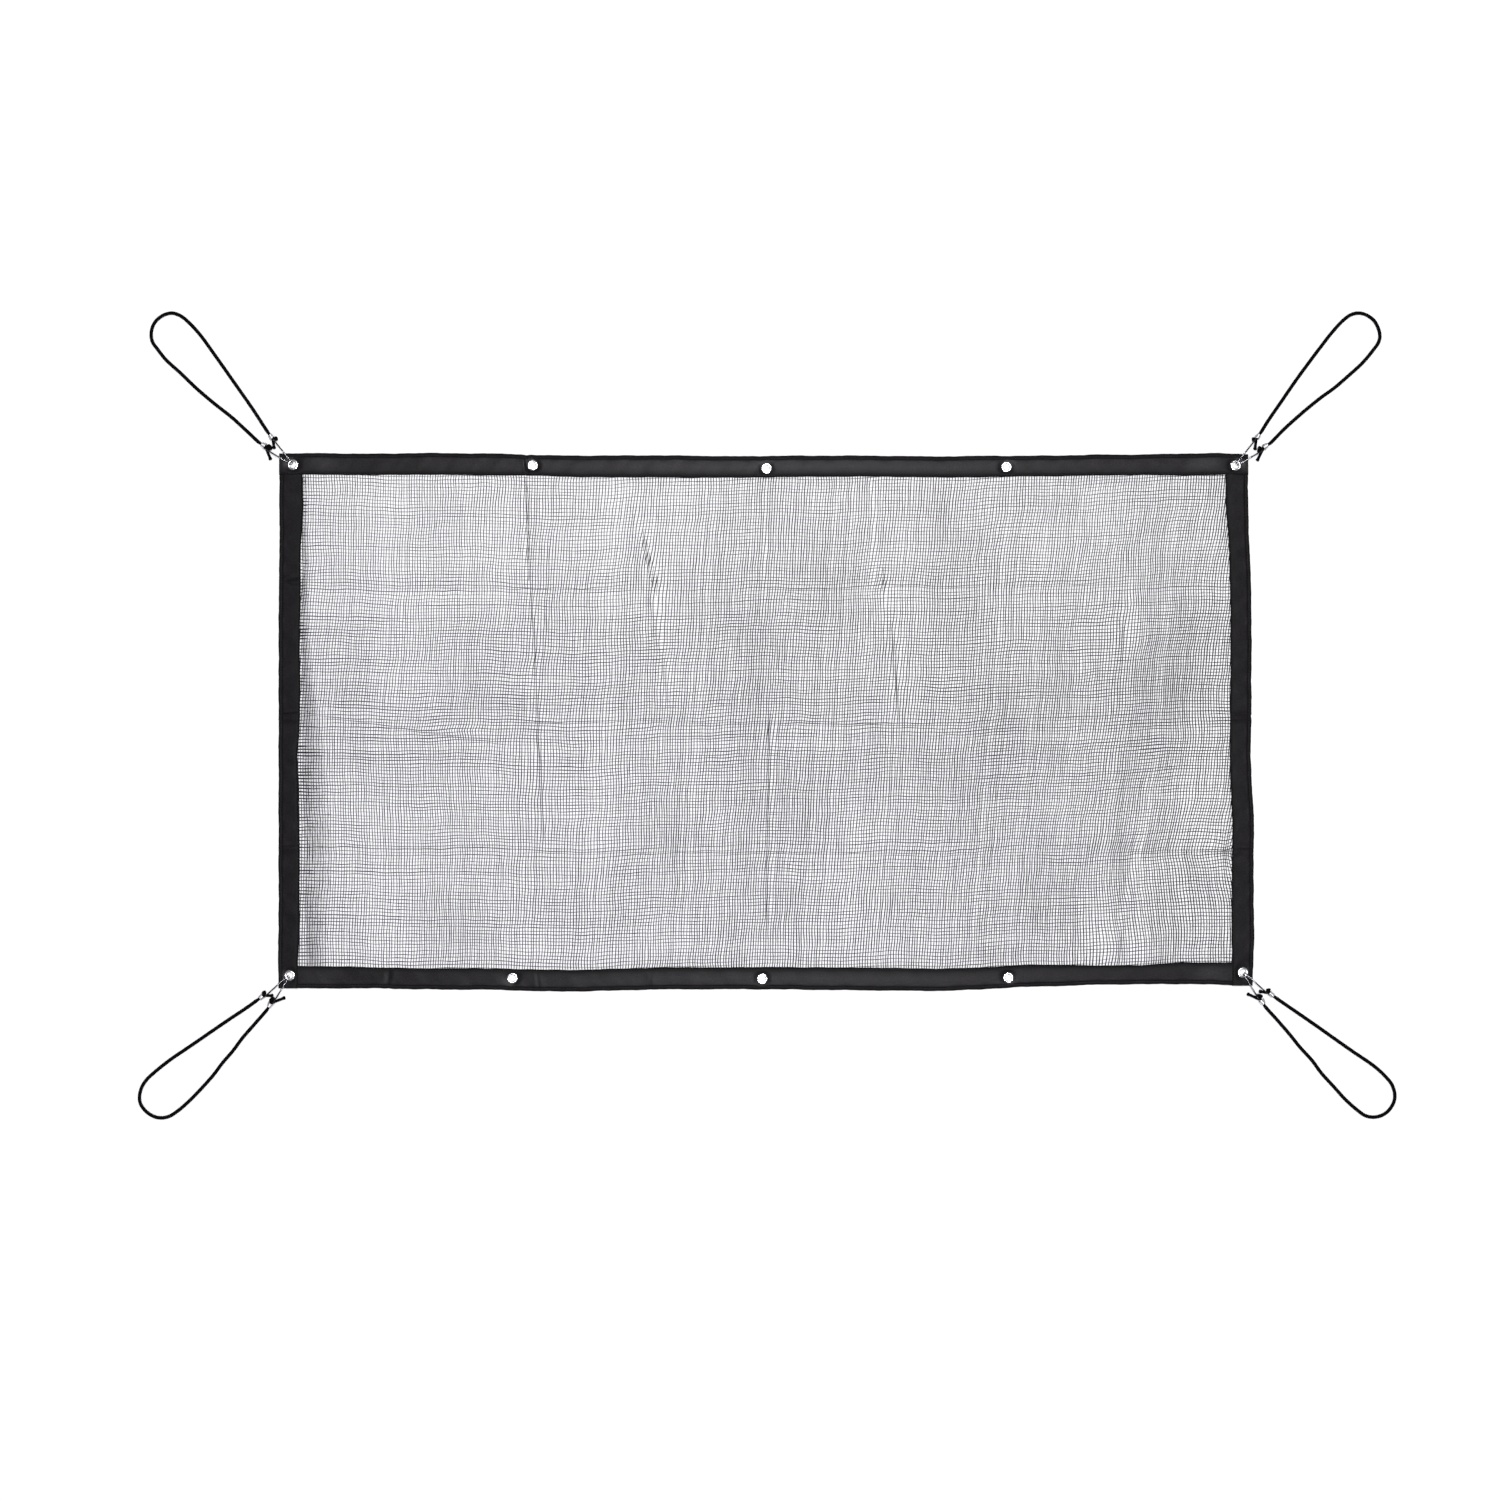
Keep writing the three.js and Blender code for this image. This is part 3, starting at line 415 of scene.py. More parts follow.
# Its upright threads: how many, their half thickness at shares of the spread, and the spread at which
# that is whole; and its level threads: their half thickness, taper and reach as shares of the spread
HEM_UPRIGHTS = 26
HEM_THICKNESS = [(-0.28, 0.13), (0.08, 0.2), (0.5, 0.17), (1.0, 0.1), (1.7, 0.05)]
HEM_FULL_SPREAD = 13
HEM_LEVEL_RADIUS = 0.45
HEM_LEVEL_TAPER = (1, 1, 0.85, 0.6, 0.3)
HEM_LEVEL_REACH = (0.4, 2.2)

# Creases in the tape: where, how far they slant across it, how deep and how wide they are
TAPE_CREASES = {
    "left": [
        (169, 0.3, 0.16, 2.2), (163, -0.2, 0.14, 2.2), (12, 0.1, 0.3, 1.4), (6, -0.05, 0.25, 1.4),
        (-145, 0.1, 0.33, 1.8),
    ],
    "right": [(7, -0.05, 0.55, 1.2), (-151, 0.1, 0.33, 2.4), (204, 0.2, 0.19, 6)],
    "top": [(-283, 0.15, 0.44, 1.6), (-12, -0.4, 0.22, 4)],
    "bottom": [(-447, 0.12, 0.2, 2.6), (-270, -0.15, 0.15, 1.6), (-137, 0.2, 0.12, 1.6)],
}
# Nicks in the tape's outer edge: where, how deep and how wide they are
TAPE_NICKS = {"right": (7, 0.9, 2), "top": (-283, 0.8, 2.5), "bottom": (-447, 0.5, 3)}
# The unevenness of the sewn edges and of the tape's face
SAW_DEPTH = 0.16
SAW_WAVES = [(61, 0.5), (19, 0.4)]
OUTER_WAVES = [(71, 0.18), (29, 0.12), (11, 0.08)]
INNER_WAVES = [(83, 0.15), (31, 0.12), (9, 0.06)]
FACE_WAVES = [(47, 1), (23, 0.7), (13, 0.5)]
FACE_WAVE_HEIGHT = 0.04
# How bright the tape's colour is across its width, as a share: painted shade darkens it at its fold and
# at its inner hem, and a painted sheen lightens its middle. Its gloss is even, and its roughness goes from
# the first value at its edges to the second in its middle
TAPE_PAINTED_SHADE = [
    (0.0, 0.4), (0.09, 0.5), (0.16, 0.84), (0.32, 0.94), (0.52, 1.0), (0.68, 0.93), (0.8, 0.8), (0.88, 0.58),
    (1.0, 0.5),
]
TAPE_SHEEN = 0.06
TAPE_ROUGH = (0.6, 0.29)
TAPE_STEP = 3
TAPE_SHARP = 55
TAPE_OUTER_HEIGHT = 2.4
TAPE_INNER_HEIGHT = 3.6
TAPE_LEG = 1
OUTER_SEAM = 3.5
INNER_SEAM = 1.9
# The seams' grooves: their depth, and the width of the outer and of the inner one
SEAM_GROOVE = 0.42
OUTER_GROOVE, INNER_GROOVE = 0.8, 0.7
# The raised shoulders of a tape crease: height, place and width as shares of the crease's own
SHOULDER_HEIGHT, SHOULDER_AWAY, SHOULDER_WIDTH = 0.45, 2.2, 1.1
# The least height of the tape's face above its back leg
FACE_ABOVE_LEG = 0.6
# The puckers that the stitches draw beside a seam: their height, and their place and width across it
PUCKER_HEIGHT = 0.07
PUCKER_AWAY = 1.6
PUCKER_WIDTH = 1.4
STITCH_PITCH = 3.3
STITCH_LENGTH = 2.5
STITCH_RADIUS = 0.24
STITCH_SIDES = 5
STITCH_RISE = 0.06
STITCH_BOW = 0.1
# Where the tape's face has points: from its outer edge, and from its inner one
FACE_FROM_OUTER = (0.55, 1.3, 2.2, 2.8, 3.2, OUTER_SEAM, 3.9, 4.4, 5.2, 6.6, 8.4, 10.4)
FACE_FROM_INNER = (11, 9, 7, 5.4, 4, 3.1, 2.5, INNER_SEAM, 1.4, 0.9, 0.4)

# Tints: the black thread's cast where it is neutral, and the tape's
COOL = (1.0, 0.98, 1.35)
PURPLE = (1.02, 0.89, 1.02)
WEAVE_SCALE = 7000.0


def smoothstep(value, low, high):
    share = np.clip((value - low) / (high - low), 0, 1)
    return share * share * (3 - 2 * share)


def bell(away):
    return np.exp(-(away**2))


def ripple(place, seed, waves):
    """A fixed unevenness: a sum of sines, each with its own wavelength and height."""
    rng = np.random.default_rng(seed)
    total = np.zeros_like(np.asarray(place, float))
    for length, height in waves:
        total += height * np.sin(2 * np.pi * (place / length + rng.random()))
    return total


def drift(x, y, seed, waves):
    """A fixed unevenness of the plane: waves of several lengths, each in directions of its own."""
    rng = np.random.default_rng(seed)
    total = np.zeros_like(x)
    for length, height in waves:
        for turn, phase in rng.uniform(0, 2 * np.pi, (2, 2)):
            run = x * math.cos(turn) + y * math.sin(turn)
            total += height * np.sin(2 * np.pi * run / length + phase)
    return total


def long_edge(column, x):
    return np.interp(x, LONG_EDGES[:, 0], LONG_EDGES[:, LONG_COLUMNS.index(column)])


def side_edge(column, y):
    return np.interp(y, SIDE_EDGES[:, 0], SIDE_EDGES[:, SIDE_COLUMNS.index(column)])


def corner_lift(x, y):
    lift = np.zeros(np.broadcast(x, y).shape)
    for corner in CORNERS:
        eyelet_x, eyelet_y, _ = EYELETS[corner.eyelet]
        away = np.hypot(x - eyelet_x, y - eyelet_y)
        lift = np.maximum(lift, CORNER_LIFT * (1 - smoothstep(away, LIFT_PLATEAU, LIFT_REACH)))
    return lift


def crease_share(away):
    return np.maximum(0, 1 - np.abs(away) / CREASE_HALF_WIDTH)


def side_crease_lift(side, y):
    return np.max([row[side] * crease_share(y - row["y"]) for row in CROSS_CREASES], axis=0)


def add_object(name, data):
    thing = bpy.data.objects.new(name, data)
    bpy.context.scene.collection.objects.link(thing)
    return thing


def add_mesh(name, points, faces):
    mesh = bpy.data.meshes.new(name)
    mesh.from_pydata(points, [], faces)
    return add_object(name, mesh)


def make_piece(name, points, faces, material, slot, sharp=None):
    """A mesh piece from points in millimetres, riding on the part's one body."""
    piece = add_mesh(name, np.asarray(points, float) * MM, faces)
    mesh = piece.data
    mesh.materials.append(material)
    mesh.polygons.foreach_set("use_smooth", np.ones(len(mesh.polygons), bool))
    mesh.update()
    if sharp is not None:
        mesh.set_sharp_from_angle(angle=math.radians(sharp))
    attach(piece, "root")
    return piece


def face_outward(piece):
    shape = bmesh.new()
    shape.from_mesh(piece.data)
    bmesh.ops.recalc_face_normals(shape, faces=shape.faces)
    shape.to_mesh(piece.data)
    shape.free()


def add_uv(piece, name, pairs):
    """A UV map with one pair of values for each point of the mesh."""
    layer = piece.data.uv_layers.new(name=name)
    corner_points = np.zeros(len(piece.data.loops), int)
    piece.data.loops.foreach_get("vertex_index", corner_points)
    layer.data.foreach_set("uv", pairs[corner_points].astype(np.float32).ravel())


def quads_around(rings, sides, closed=False):
    """Quads between neighbouring rings of points, and from the last to the first if they are closed."""
    ring, side = np.meshgrid(np.arange(rings - (not closed)), np.arange(sides), indexing="ij")
    a = ring * sides + side
    b = ring * sides + (side + 1) % sides
    quads = np.stack([a, b, b + sides, a + sides], axis=-1) % (rings * sides)
    return quads.reshape(-1, 4).tolist()


def ring_faces(rings, sides):
    """Quads of a tube of rings, and one face across each of its ends."""
    start = list(reversed(range(sides)))
    end = [(rings - 1) * sides + n for n in range(sides)]
    return [*quads_around(rings, sides), start, end]


def mixed(t, low, high, a, b):
    return (high - t) / (high - low) * a + (t - low) / (high - low) * b


def smooth_line(points, step, power=0.5):
    """Points at equal steps along a centripetal Catmull-Rom curve."""
    points = np.asarray(points, float)
    padded = np.vstack([2 * points[0] - points[1], points, 2 * points[-1] - points[-2]])
    line = []
    for p0, p1, p2, p3 in zip(padded, padded[1:], padded[2:], padded[3:]):
        t1 = np.linalg.norm(p1 - p0) ** power
        t2 = t1 + np.linalg.norm(p2 - p1) ** power
        t3 = t2 + np.linalg.norm(p3 - p2) ** power
        t = np.linspace(t1, t2, 24, endpoint=False)[:, None]
        a1 = mixed(t, 0, t1, p0, p1)
        a2 = mixed(t, t1, t2, p1, p2)
        a3 = mixed(t, t2, t3, p2, p3)
        b1 = mixed(t, 0, t2, a1, a2)
        b2 = mixed(t, t1, t3, a2, a3)
        line.append(mixed(t, t1, t2, b1, b2))
    line = np.vstack([*line, points[-1:]])
    run = run_along(line)
    places = np.linspace(0, run[-1], max(2, round(run[-1] / step) + 1))
    return np.stack([np.interp(places, run, line[:, n]) for n in range(3)], axis=1)


def run_along(line):
    return np.concatenate([[0], np.cumsum(np.linalg.norm(np.diff(line, axis=0), axis=1))])


def tube(line, radius, sides):
    """A tube about a line, carried along it without twist. radius may vary by ring and side."""
    tangent = np.gradient(line, axis=0)
    tangent /= np.linalg.norm(tangent, axis=1)[:, None]
    up = np.array([0.0, 0.0, 1.0]) if abs(tangent[0, 2]) < 0.9 else np.array([1.0, 0.0, 0.0])
    across = []
    for direction in tangent:
        up = up - direction * (up @ direction)
        up /= np.linalg.norm(up)
        across.append(up)
    across = np.array(across)
    beside = np.cross(tangent, across)
    angle = 2 * np.pi * np.arange(sides) / sides
    radius = np.broadcast_to(np.asarray(radius, float), (len(line), sides))
    rings = line[:, None] + radius[..., None] * (
        np.cos(angle)[None, :, None] * across[:, None] + np.sin(angle)[None, :, None] * beside[:, None]
    )
    return rings.reshape(-1, 3), ring_faces(len(line), sides)


def join_parts(parts):
    """Several (points, faces) as one."""
    points, faces, offset = [], [], 0
    for part_points, part_faces in parts:
        points.append(part_points)
        faces += [[index + offset for index in face] for face in part_faces]
        offset += len(part_points)
    return np.vstack(points), faces


class Nodes:
    """A node tree with a short way to add nodes that are set and linked."""

    def __init__(self, tree):
        self.tree = tree

    def add(self, kind, inputs=None, **settings):
        node = self.tree.nodes.new(f"ShaderNode{kind}")
        for key, value in settings.items():
            setattr(node, key, value)
        for socket, value in (inputs or {}).items():
            if isinstance(value, bpy.types.NodeSocket):
                self.tree.links.new(value, node.inputs[socket])
            else:
                node.inputs[socket].default_value = value
        return node


class Shader(Nodes):
    """A principled material with short ways to make its patterns."""

    def __init__(self, name, **values):
        self.material = bpy.data.materials.new(name)
        self.material.use_nodes = True
        super().__init__(self.material.node_tree)
        self.surface = self.tree.nodes["Principled BSDF"]
        for socket, value in values.items():
            self.surface.inputs[socket.replace("_", " ")].default_value = value

    def place(self, kind="Object"):
        return self.add("TexCoord").outputs[kind]

    def split(self, place):
        return self.add("SeparateXYZ", {0: place}).outputs

    def noise(self, place, scale, detail=2.0):
        inputs = {"Vector": place, "Scale": scale, "Detail": detail}
        return self.add("TexNoise", inputs).outputs["Fac"]

    def math(self, operation, a, b=0.0):
        return self.add("Math", {0: a, 1: b}, operation=operation).outputs[0]

    def spread(self, value, **limits):
        inputs = {key.replace("_", " "): limit for key, limit in limits.items()}
        return self.add("MapRange", {"Value": value, **inputs}).outputs[0]

    def ramp(self, factor, stops):
        node = self.add("ValToRGB", {"Fac": factor})
        elements = node.color_ramp.elements
        while len(elements) < len(stops):
            elements.new(0.5)
        for element, (position, colour) in zip(elements, stops):
            element.position = position
            element.color = (*colour, 1)
        return node.outputs["Color"]

    def multiply(self, a, b):
        return self.add("Mix", {0: 1.0, 6: a, 7: b}, data_type="RGBA", blend_type="MULTIPLY").outputs[2]

    def blend(self, share, a, b):
        return self.add("Mix", {0: share, 6: a, 7: b}, data_type="RGBA").outputs[2]

    def link(self, output, socket):
        self.tree.links.new(output, self.surface.inputs[socket])

    def bump(self, height, strength, distance):
        inputs = {"Height": height, "Strength": strength, "Distance": distance}
        self.link(self.add("Bump", inputs).outputs["Normal"], "Normal")


def grey(level, tint=(1, 0.97, 1)):
    return tuple(level * part for part in tint)


def thread_material(name, darker, lighter):
    """Dull black thread, tinted from darker to lighter at the lower left and neutral at the upper right."""
    shader = Shader(name, Roughness=0.6, Specular_IOR_Level=0.2)
    place = shader.place()
    tone = shader.noise(place, 90, 4)
    x, y, _ = shader.split(place)
    low_left = shader.math("ADD", shader.math("MULTIPLY", x, 0.6), y)
    faded = shader.spread(low_left, From_Min=-0.4, From_Max=0.3)
    neutral = shader.ramp(tone, [(0.3, grey(0.006, COOL)), (0.7, grey(0.02, COOL))])
    tinted = shader.ramp(tone, [(0.3, darker), (0.7, lighter)])
    shader.link(shader.blend(faded, tinted, neutral), "Base Color")
    shader.bump(shader.noise(place, 2500), 0.3, 0.0002)
    return shader.material


def tape_material():
    """Black woven tape: speckled and mottled, with more gloss along its middle than at its edges.

    Its colour has painted shade at its fold and inner hem, and a painted sheen along its middle.
    """
    shader = Shader("woven_tape", Specular_IOR_Level=TAPE_SHEEN)
    place = shader.place()
    x, y, _ = shader.split(place)
    _, across, _ = shader.split(shader.place("UV"))
    mottle = shader.noise(place, 70, 6)
    speckle = shader.noise(place, 620, 3)
    warp = shader.math("SINE", shader.math("MULTIPLY", x, WEAVE_SCALE))
    weft = shader.math("SINE", shader.math("MULTIPLY", y, WEAVE_SCALE))
    weave = shader.math("MULTIPLY", warp, weft)
    tones = ((0.35, 0.005), (0.6, 0.009), (0.8, 0.018))
    lights = shader.ramp(speckle, [(at, grey(level, PURPLE)) for at, level in tones])
    darks = shader.ramp(mottle, [(0.3, (0.75, 0.75, 0.75)), (0.7, (1.2, 1.2, 1.2))])
    # painted shade at the tape's fold and inner hem, and a painted sheen along its middle, multiplied into
    # its colour
    edges = shader.ramp(across, [(at, grey(share, (1, 1, 1))) for at, share in TAPE_PAINTED_SHADE])
    shader.link(shader.multiply(shader.multiply(lights, darks), edges), "Base Color")
    dulled = shader.spread(edges, From_Min=TAPE_PAINTED_SHADE[0][1], To_Min=TAPE_ROUGH[0], To_Max=TAPE_ROUGH[1])
    shader.link(dulled, "Roughness")
    height = shader.math("ADD", shader.math("MULTIPLY", weave, 0.5), speckle)
    shader.bump(height, 0.4, 0.00004)
    return shader.material


def stitch_material():
    shader = Shader("sewing_thread", Roughness=0.55, Specular_IOR_Level=0.2)
    place = shader.place()
    shader.link(shader.ramp(shader.noise(place, 300), [(0.3, grey(0.01)), (0.7, grey(0.035))]), "Base Color")
    shader.bump(shader.noise(place, 4000), 0.3, 0.0001)
    return shader.material


def metal_material(name, dull, bright, smooth, rough, edge=1.0):
    """Plated metal: a worn tint, a roughness that follows it, and edge, its glint at grazing angles."""
    shader = Shader(name, Metallic=1.0, Specular_Tint=(edge, edge, edge, 1))
    place = shader.place()
    wear = shader.noise(place, 250, 5)
    shader.link(shader.ramp(wear, [(0.3, dull), (0.7, bright)]), "Base Color")
    shader.link(shader.spread(wear, To_Min=smooth, To_Max=rough), "Roughness")
    shader.bump(shader.noise(place, 900), 0.08, 0.0002)
    return shader.material


def braid_material():
    shader = Shader("braided_cord", Roughness=0.75, Specular_IOR_Level=0.03)
    along, around, _ = shader.split(shader.place("UV"))
    round_turn = shader.math("MULTIPLY", around, 2 * math.pi * BRAID_STRANDS)
    run = shader.math("MULTIPLY", along, 2 * math.pi * BRAID_TURNS)
    left = shader.math("SINE", shader.math("ADD", run, round_turn))
    right = shader.math("SINE", shader.math("SUBTRACT", run, round_turn))
    braid = shader.math("MULTIPLY", left, right)
    shade = shader.math("ADD", shader.math("MULTIPLY", braid, 0.35), shader.noise(shader.place(), 400))
    shader.link(shader.ramp(shade, [(0.2, grey(0.0008)), (0.9, grey(0.004))]), "Base Color")
    shader.bump(braid, 0.4, 0.0003)
    return shader.material


THREAD = thread_material("net_thread", (0.014, 0.013, 0.026), (0.034, 0.031, 0.058))
FOLDED_THREAD = thread_material("folded_thread", (0.012, 0.011, 0.013), (0.03, 0.028, 0.032))
TAPE = tape_material()
STITCH = stitch_material()
RING_METAL = metal_material("pressed_ring_metal", (0.5, 0.51, 0.53), (0.68, 0.68, 0.7), 0.12, 0.2)
# One wire in two copies of its metal: the coil's bright copy paints its glints, and the shank's dark copy,
# with dim glints at grazing angles, paints its shade
LIT_COIL_METAL = metal_material("coil_lit_copy", (0.8, 0.79, 0.8), (0.92, 0.91, 0.92), 0.35, 0.5)
SHADED_SHANK_METAL = metal_material("shank_shaded_copy", (0.1, 0.1, 0.11), (0.14, 0.14, 0.15), 0.06, 0.12, 0.1)
BRAID = braid_material()


def rim_inset(x, y):
    """How far a place lies inside the tape's inner edges."""
    return np.min(np.broadcast_arrays(
        x - side_edge("left_inner", y), side_edge("right_inner", y) - x,
        y - long_edge("bottom_inner", x), long_edge("top_inner", x) - y,
    ), axis=0)


def soft_crease(away, along, seed):
    """A rounded ridge across a crease, lower here and there along it."""
    uneven = CREASE_SHARE + ripple(along, seed, CREASE_WAVES)
    return smoothstep(crease_share(away), 0, 1) * uneven


def net_height(x, y):
    """Underside of the net: in the tape's fold at its rim, near the floor inside, raised at the creases."""
    rim = 1 - smoothstep(rim_inset(x, y), *RIM_FALL)
    heights = [np.maximum(NET_WAVE_REST + drift(x, y, 5, NET_WAVES), 0)]
    for seed, row in enumerate(CROSS_CREASES, 60):
        heights.append(row["net"] * soft_crease(y - row["y"], x, seed))
    for seed, row in enumerate(UPRIGHT_CREASES, 70):
        inside = np.clip(np.minimum(row["top"] - y, y - row["bottom"]) / CREASE_FADE, 0, 1)
        heights.append(row["net"] * soft_crease(x - row["x"], y, seed) * inside)
    side = np.where(x < 0, side_crease_lift("left", y), side_crease_lift("right", y))
    rim_height = RIM_HEIGHT + np.where(np.abs(x) > SIDES_FROM, side, 0)
    return corner_lift(x, y) + rim * rim_height + (1 - rim) * np.max(heights, axis=0)


def thread_shift(x, y):
    """How far a point of the leaning net is moved in the plane by its drift, creases, tucks and stars."""
    dx = drift(x, y, 1, DRIFT_WAVES)
    dy = drift(x, y, 2, DRIFT_WAVES)
    before, after = GATHER_FADE
    for ax, ay, bx, by, pull, width in GATHERS:
        length = np.linalg.norm((bx - ax, by - ay))
        ux, uy = (bx - ax) / length, (by - ay) / length
        along = (x - ax) * ux + (y - ay) * uy
        off = (x - ax) * -uy + (y - ay) * ux
        fade = smoothstep(along, before, after) * (1 - smoothstep(along, length - after, length - before))
        share = off / width
        uneven = 1 + GATHER_UNEVEN * ripple(along, int(abs(ax)), GATHER_WAVES)
        move = -pull * share * np.exp(0.5 - 0.5 * share**2) * fade * uneven
        dx += move * -uy
        dy += move * ux
    for at_x, at_y, slant, shift, left, right, up, below in TUCKS:
        down = at_y - y
        aside = x - at_x - slant * np.minimum(down, 0) - TUCK_SLANT_BELOW * np.maximum(down, 0)
        across = np.where(aside > 0, aside / right, aside / left)
        along = np.where(down > 0, down / below, down / up)
        dx += shift * np.exp(-np.abs(across) ** 1.6 - np.abs(along) ** 1.4)
    for at_x, at_y, reach, draw in STARS:
        away_x, away_y = x - at_x, y - at_y
        share = draw * np.exp(-(away_x**2 + away_y**2) / (2 * reach**2))
        dx -= away_x * share
        dy -= away_y * share
    hold = smoothstep(rim_inset(x, y), *HOLD)
    return dx * hold, dy * hold


def starts_by_pitch(reach, pitches, rng):
    """Places from one end of the reach to the other, at the spacing that the table gives there."""
    places, spacing = np.array(pitches).T
    starts = [reach[0]]
    while starts[-1] < reach[1]:
        starts.append(starts[-1] + np.interp(starts[-1], places, spacing))
    return np.array(starts) + rng.normal(0, PITCH_ERROR, len(starts))


def lean_at(x, y):
    heights = [row[0] for row in reversed(LEANS)]
    columns = np.array([row[1] for row in reversed(LEANS)]).T
    return np.interp(x, LEAN_PLACES, [np.interp(y, heights, column) for column in columns])


def climb_at(y, x):
    return np.interp(x, *np.array(CLIMBS).T) + 0 * y


def follow(starts, run, turn_at):
    """Places across the run for threads that set out from starts and turn as the net does."""
    across = [starts]
    for before, after in zip(run, run[1:]):
        turn = np.tan(np.radians(turn_at(across[-1], before)))
        across.append(across[-1] + abs(after - before) * turn)
    return np.stack(across, axis=1)


def cut_to_rims(across, run, upright, points):
    """Each thread's own stretch between the tape's inner edges, as grids of points: one thread to a row."""
    inset = rim_inset(across, run) if upright else rim_inset(run, across)
    inside = inset > -NET_TUCK
    long_enough = inside.sum(axis=1) * FOLLOW_STEP > SHORTEST_THREAD
    across, inside = across[long_enough], inside[long_enough]
    first = inside.argmax(axis=1)[:, None]
    last = inside.shape[1] - 1 - inside[:, ::-1].argmax(axis=1)[:, None]
    place = first + (last - first) * np.linspace(0, 1, points)
    low = np.minimum(place.astype(int), len(run) - 2)
    share = place - low
    cut = np.take_along_axis(across, low, 1) * (1 - share) + np.take_along_axis(across, low + 1, 1) * share
    along = run[low] * (1 - share) + run[low + 1] * share
    return (cut, along) if upright else (along, cut)


def wander(shape, run, rng):
    """Each thread's own small waves along its length."""
    total = np.zeros(shape)
    for length, height in WANDER_WAVES:
        own = length * rng.uniform(0.8, 1.2, (shape[0], 1))
        total += height * np.sin(2 * np.pi * (run / own + rng.random((shape[0], 1))))
    return total


def thread_thickness(x, y, radius, upright, rng):
    patch, uneven = (WARP_PATCH, WARP_UNEVEN) if upright else (WEFT_PATCH, WEFT_UNEVEN)
    up, along = (WARP_UP, WARP_ALONG) if upright else (WEFT_UP, WEFT_ALONG)
    thick = radius * (1 + patch * drift(x, y, 3, PATCH_WAVES))
    thick = thick * rng.uniform(1 - uneven, 1 + uneven, (len(x), 1))
    return thick * np.interp(y, *np.array(up).T) * np.interp(x, *np.array(along).T)


def thread_mesh(x, y, radius, upright, rng, moved=True, loose=1.0):
    """Three-sided threads through grids of points: one thread to a row. loose scales their own waves."""
    run, across = (y, 0) if upright else (x, 1)
    level = THREAD_LEVEL if upright else -THREAD_LEVEL
    middle = np.stack([x, y, net_height(x, y) + NET_MIDDLE + level], axis=-1)
    middle[..., across] += loose * wander(x.shape, run, rng)
    if moved:
        middle[..., across] += thread_shift(x, y)[across]
    angle = np.radians([90, 210, 330])
    ring = np.zeros((3, 3))
    ring[:, across] = np.cos(angle)
    ring[:, 2] = np.sin(angle)
    thick = thread_thickness(x, y, radius, upright, rng)
    points = middle[:, :, None] + thick[:, :, None, None] * ring
    threads, stations = x.shape
    thread, station, side = np.meshgrid(
        np.arange(threads), np.arange(stations - 1), np.arange(3), indexing="ij"
    )
    a = (thread * stations + station) * 3 + side
    b = (thread * stations + station) * 3 + (side + 1) % 3
    faces = np.concatenate([np.stack([a, b, b + 3], -1), np.stack([a, b + 3, a + 3], -1)]).reshape(-1, 3)
    first = np.arange(threads)[:, None] * stations * 3
    last = first + (stations - 1) * 3
    caps = np.concatenate([first + [0, 2, 1], last + [0, 1, 2]])
    return points.reshape(-1, 3), np.concatenate([faces, caps])


def warp_threads(rng):
    run = np.arange(NET_TOP + 6, NET_BOTTOM - 6, -FOLLOW_STEP)
    across = follow(starts_by_pitch(WARP_REACH, WARP_PITCHES, rng), run, lean_at)
    return thread_mesh(*cut_to_rims(across, run, True, WARP_POINTS), WARP_RADIUS, True, rng)


def weft_threads(rng):
    run = np.arange(NET_LEFT - 6, NET_RIGHT + 8, FOLLOW_STEP)
    across = follow(starts_by_pitch(WEFT_REACH, WEFT_PITCHES, rng), run, climb_at)
    return thread_mesh(*cut_to_rims(across, run, False, WEFT_POINTS), WEFT_RADIUS, False, rng)


def pleat_threads(rng):
    share = np.linspace(0, 1, 20)
    offset = PLEAT_WIDTH * ((np.arange(PLEAT_THREADS) + 0.5) / PLEAT_THREADS - 0.5)[:, None]
    x = PLEAT_TOP[0] + (PLEAT_BOTTOM[0] - PLEAT_TOP[0]) * share + offset
    y = PLEAT_TOP[1] + (PLEAT_BOTTOM[1] - PLEAT_TOP[1]) * share
    y = np.repeat(y[None], PLEAT_THREADS, axis=0)
    return [thread_mesh(x, y, FOLD_RADIUS, True, rng, moved=False)]


def tuck_threads(rng):
    """Short threads in the wide tucks, which lie between the net's own and lean as they do."""
    parts = []
    for at_x, at_y, slant, _, _, right, up, _ in TUCKS:
        if slant < MIN_FILLED_SLANT:
            continue
        down = np.arange(-FILL_SHARE * up, 0, FILL_PITCH / slant)[:, None]
        y = at_y - down + np.linspace(FILL_ABOVE, -FILL_BELOW, 10)
        x = at_x + slant * down + 0 * y + right / 2
        parts.append(thread_mesh(x, y, FILL_RADIUS, True, rng))
    return parts


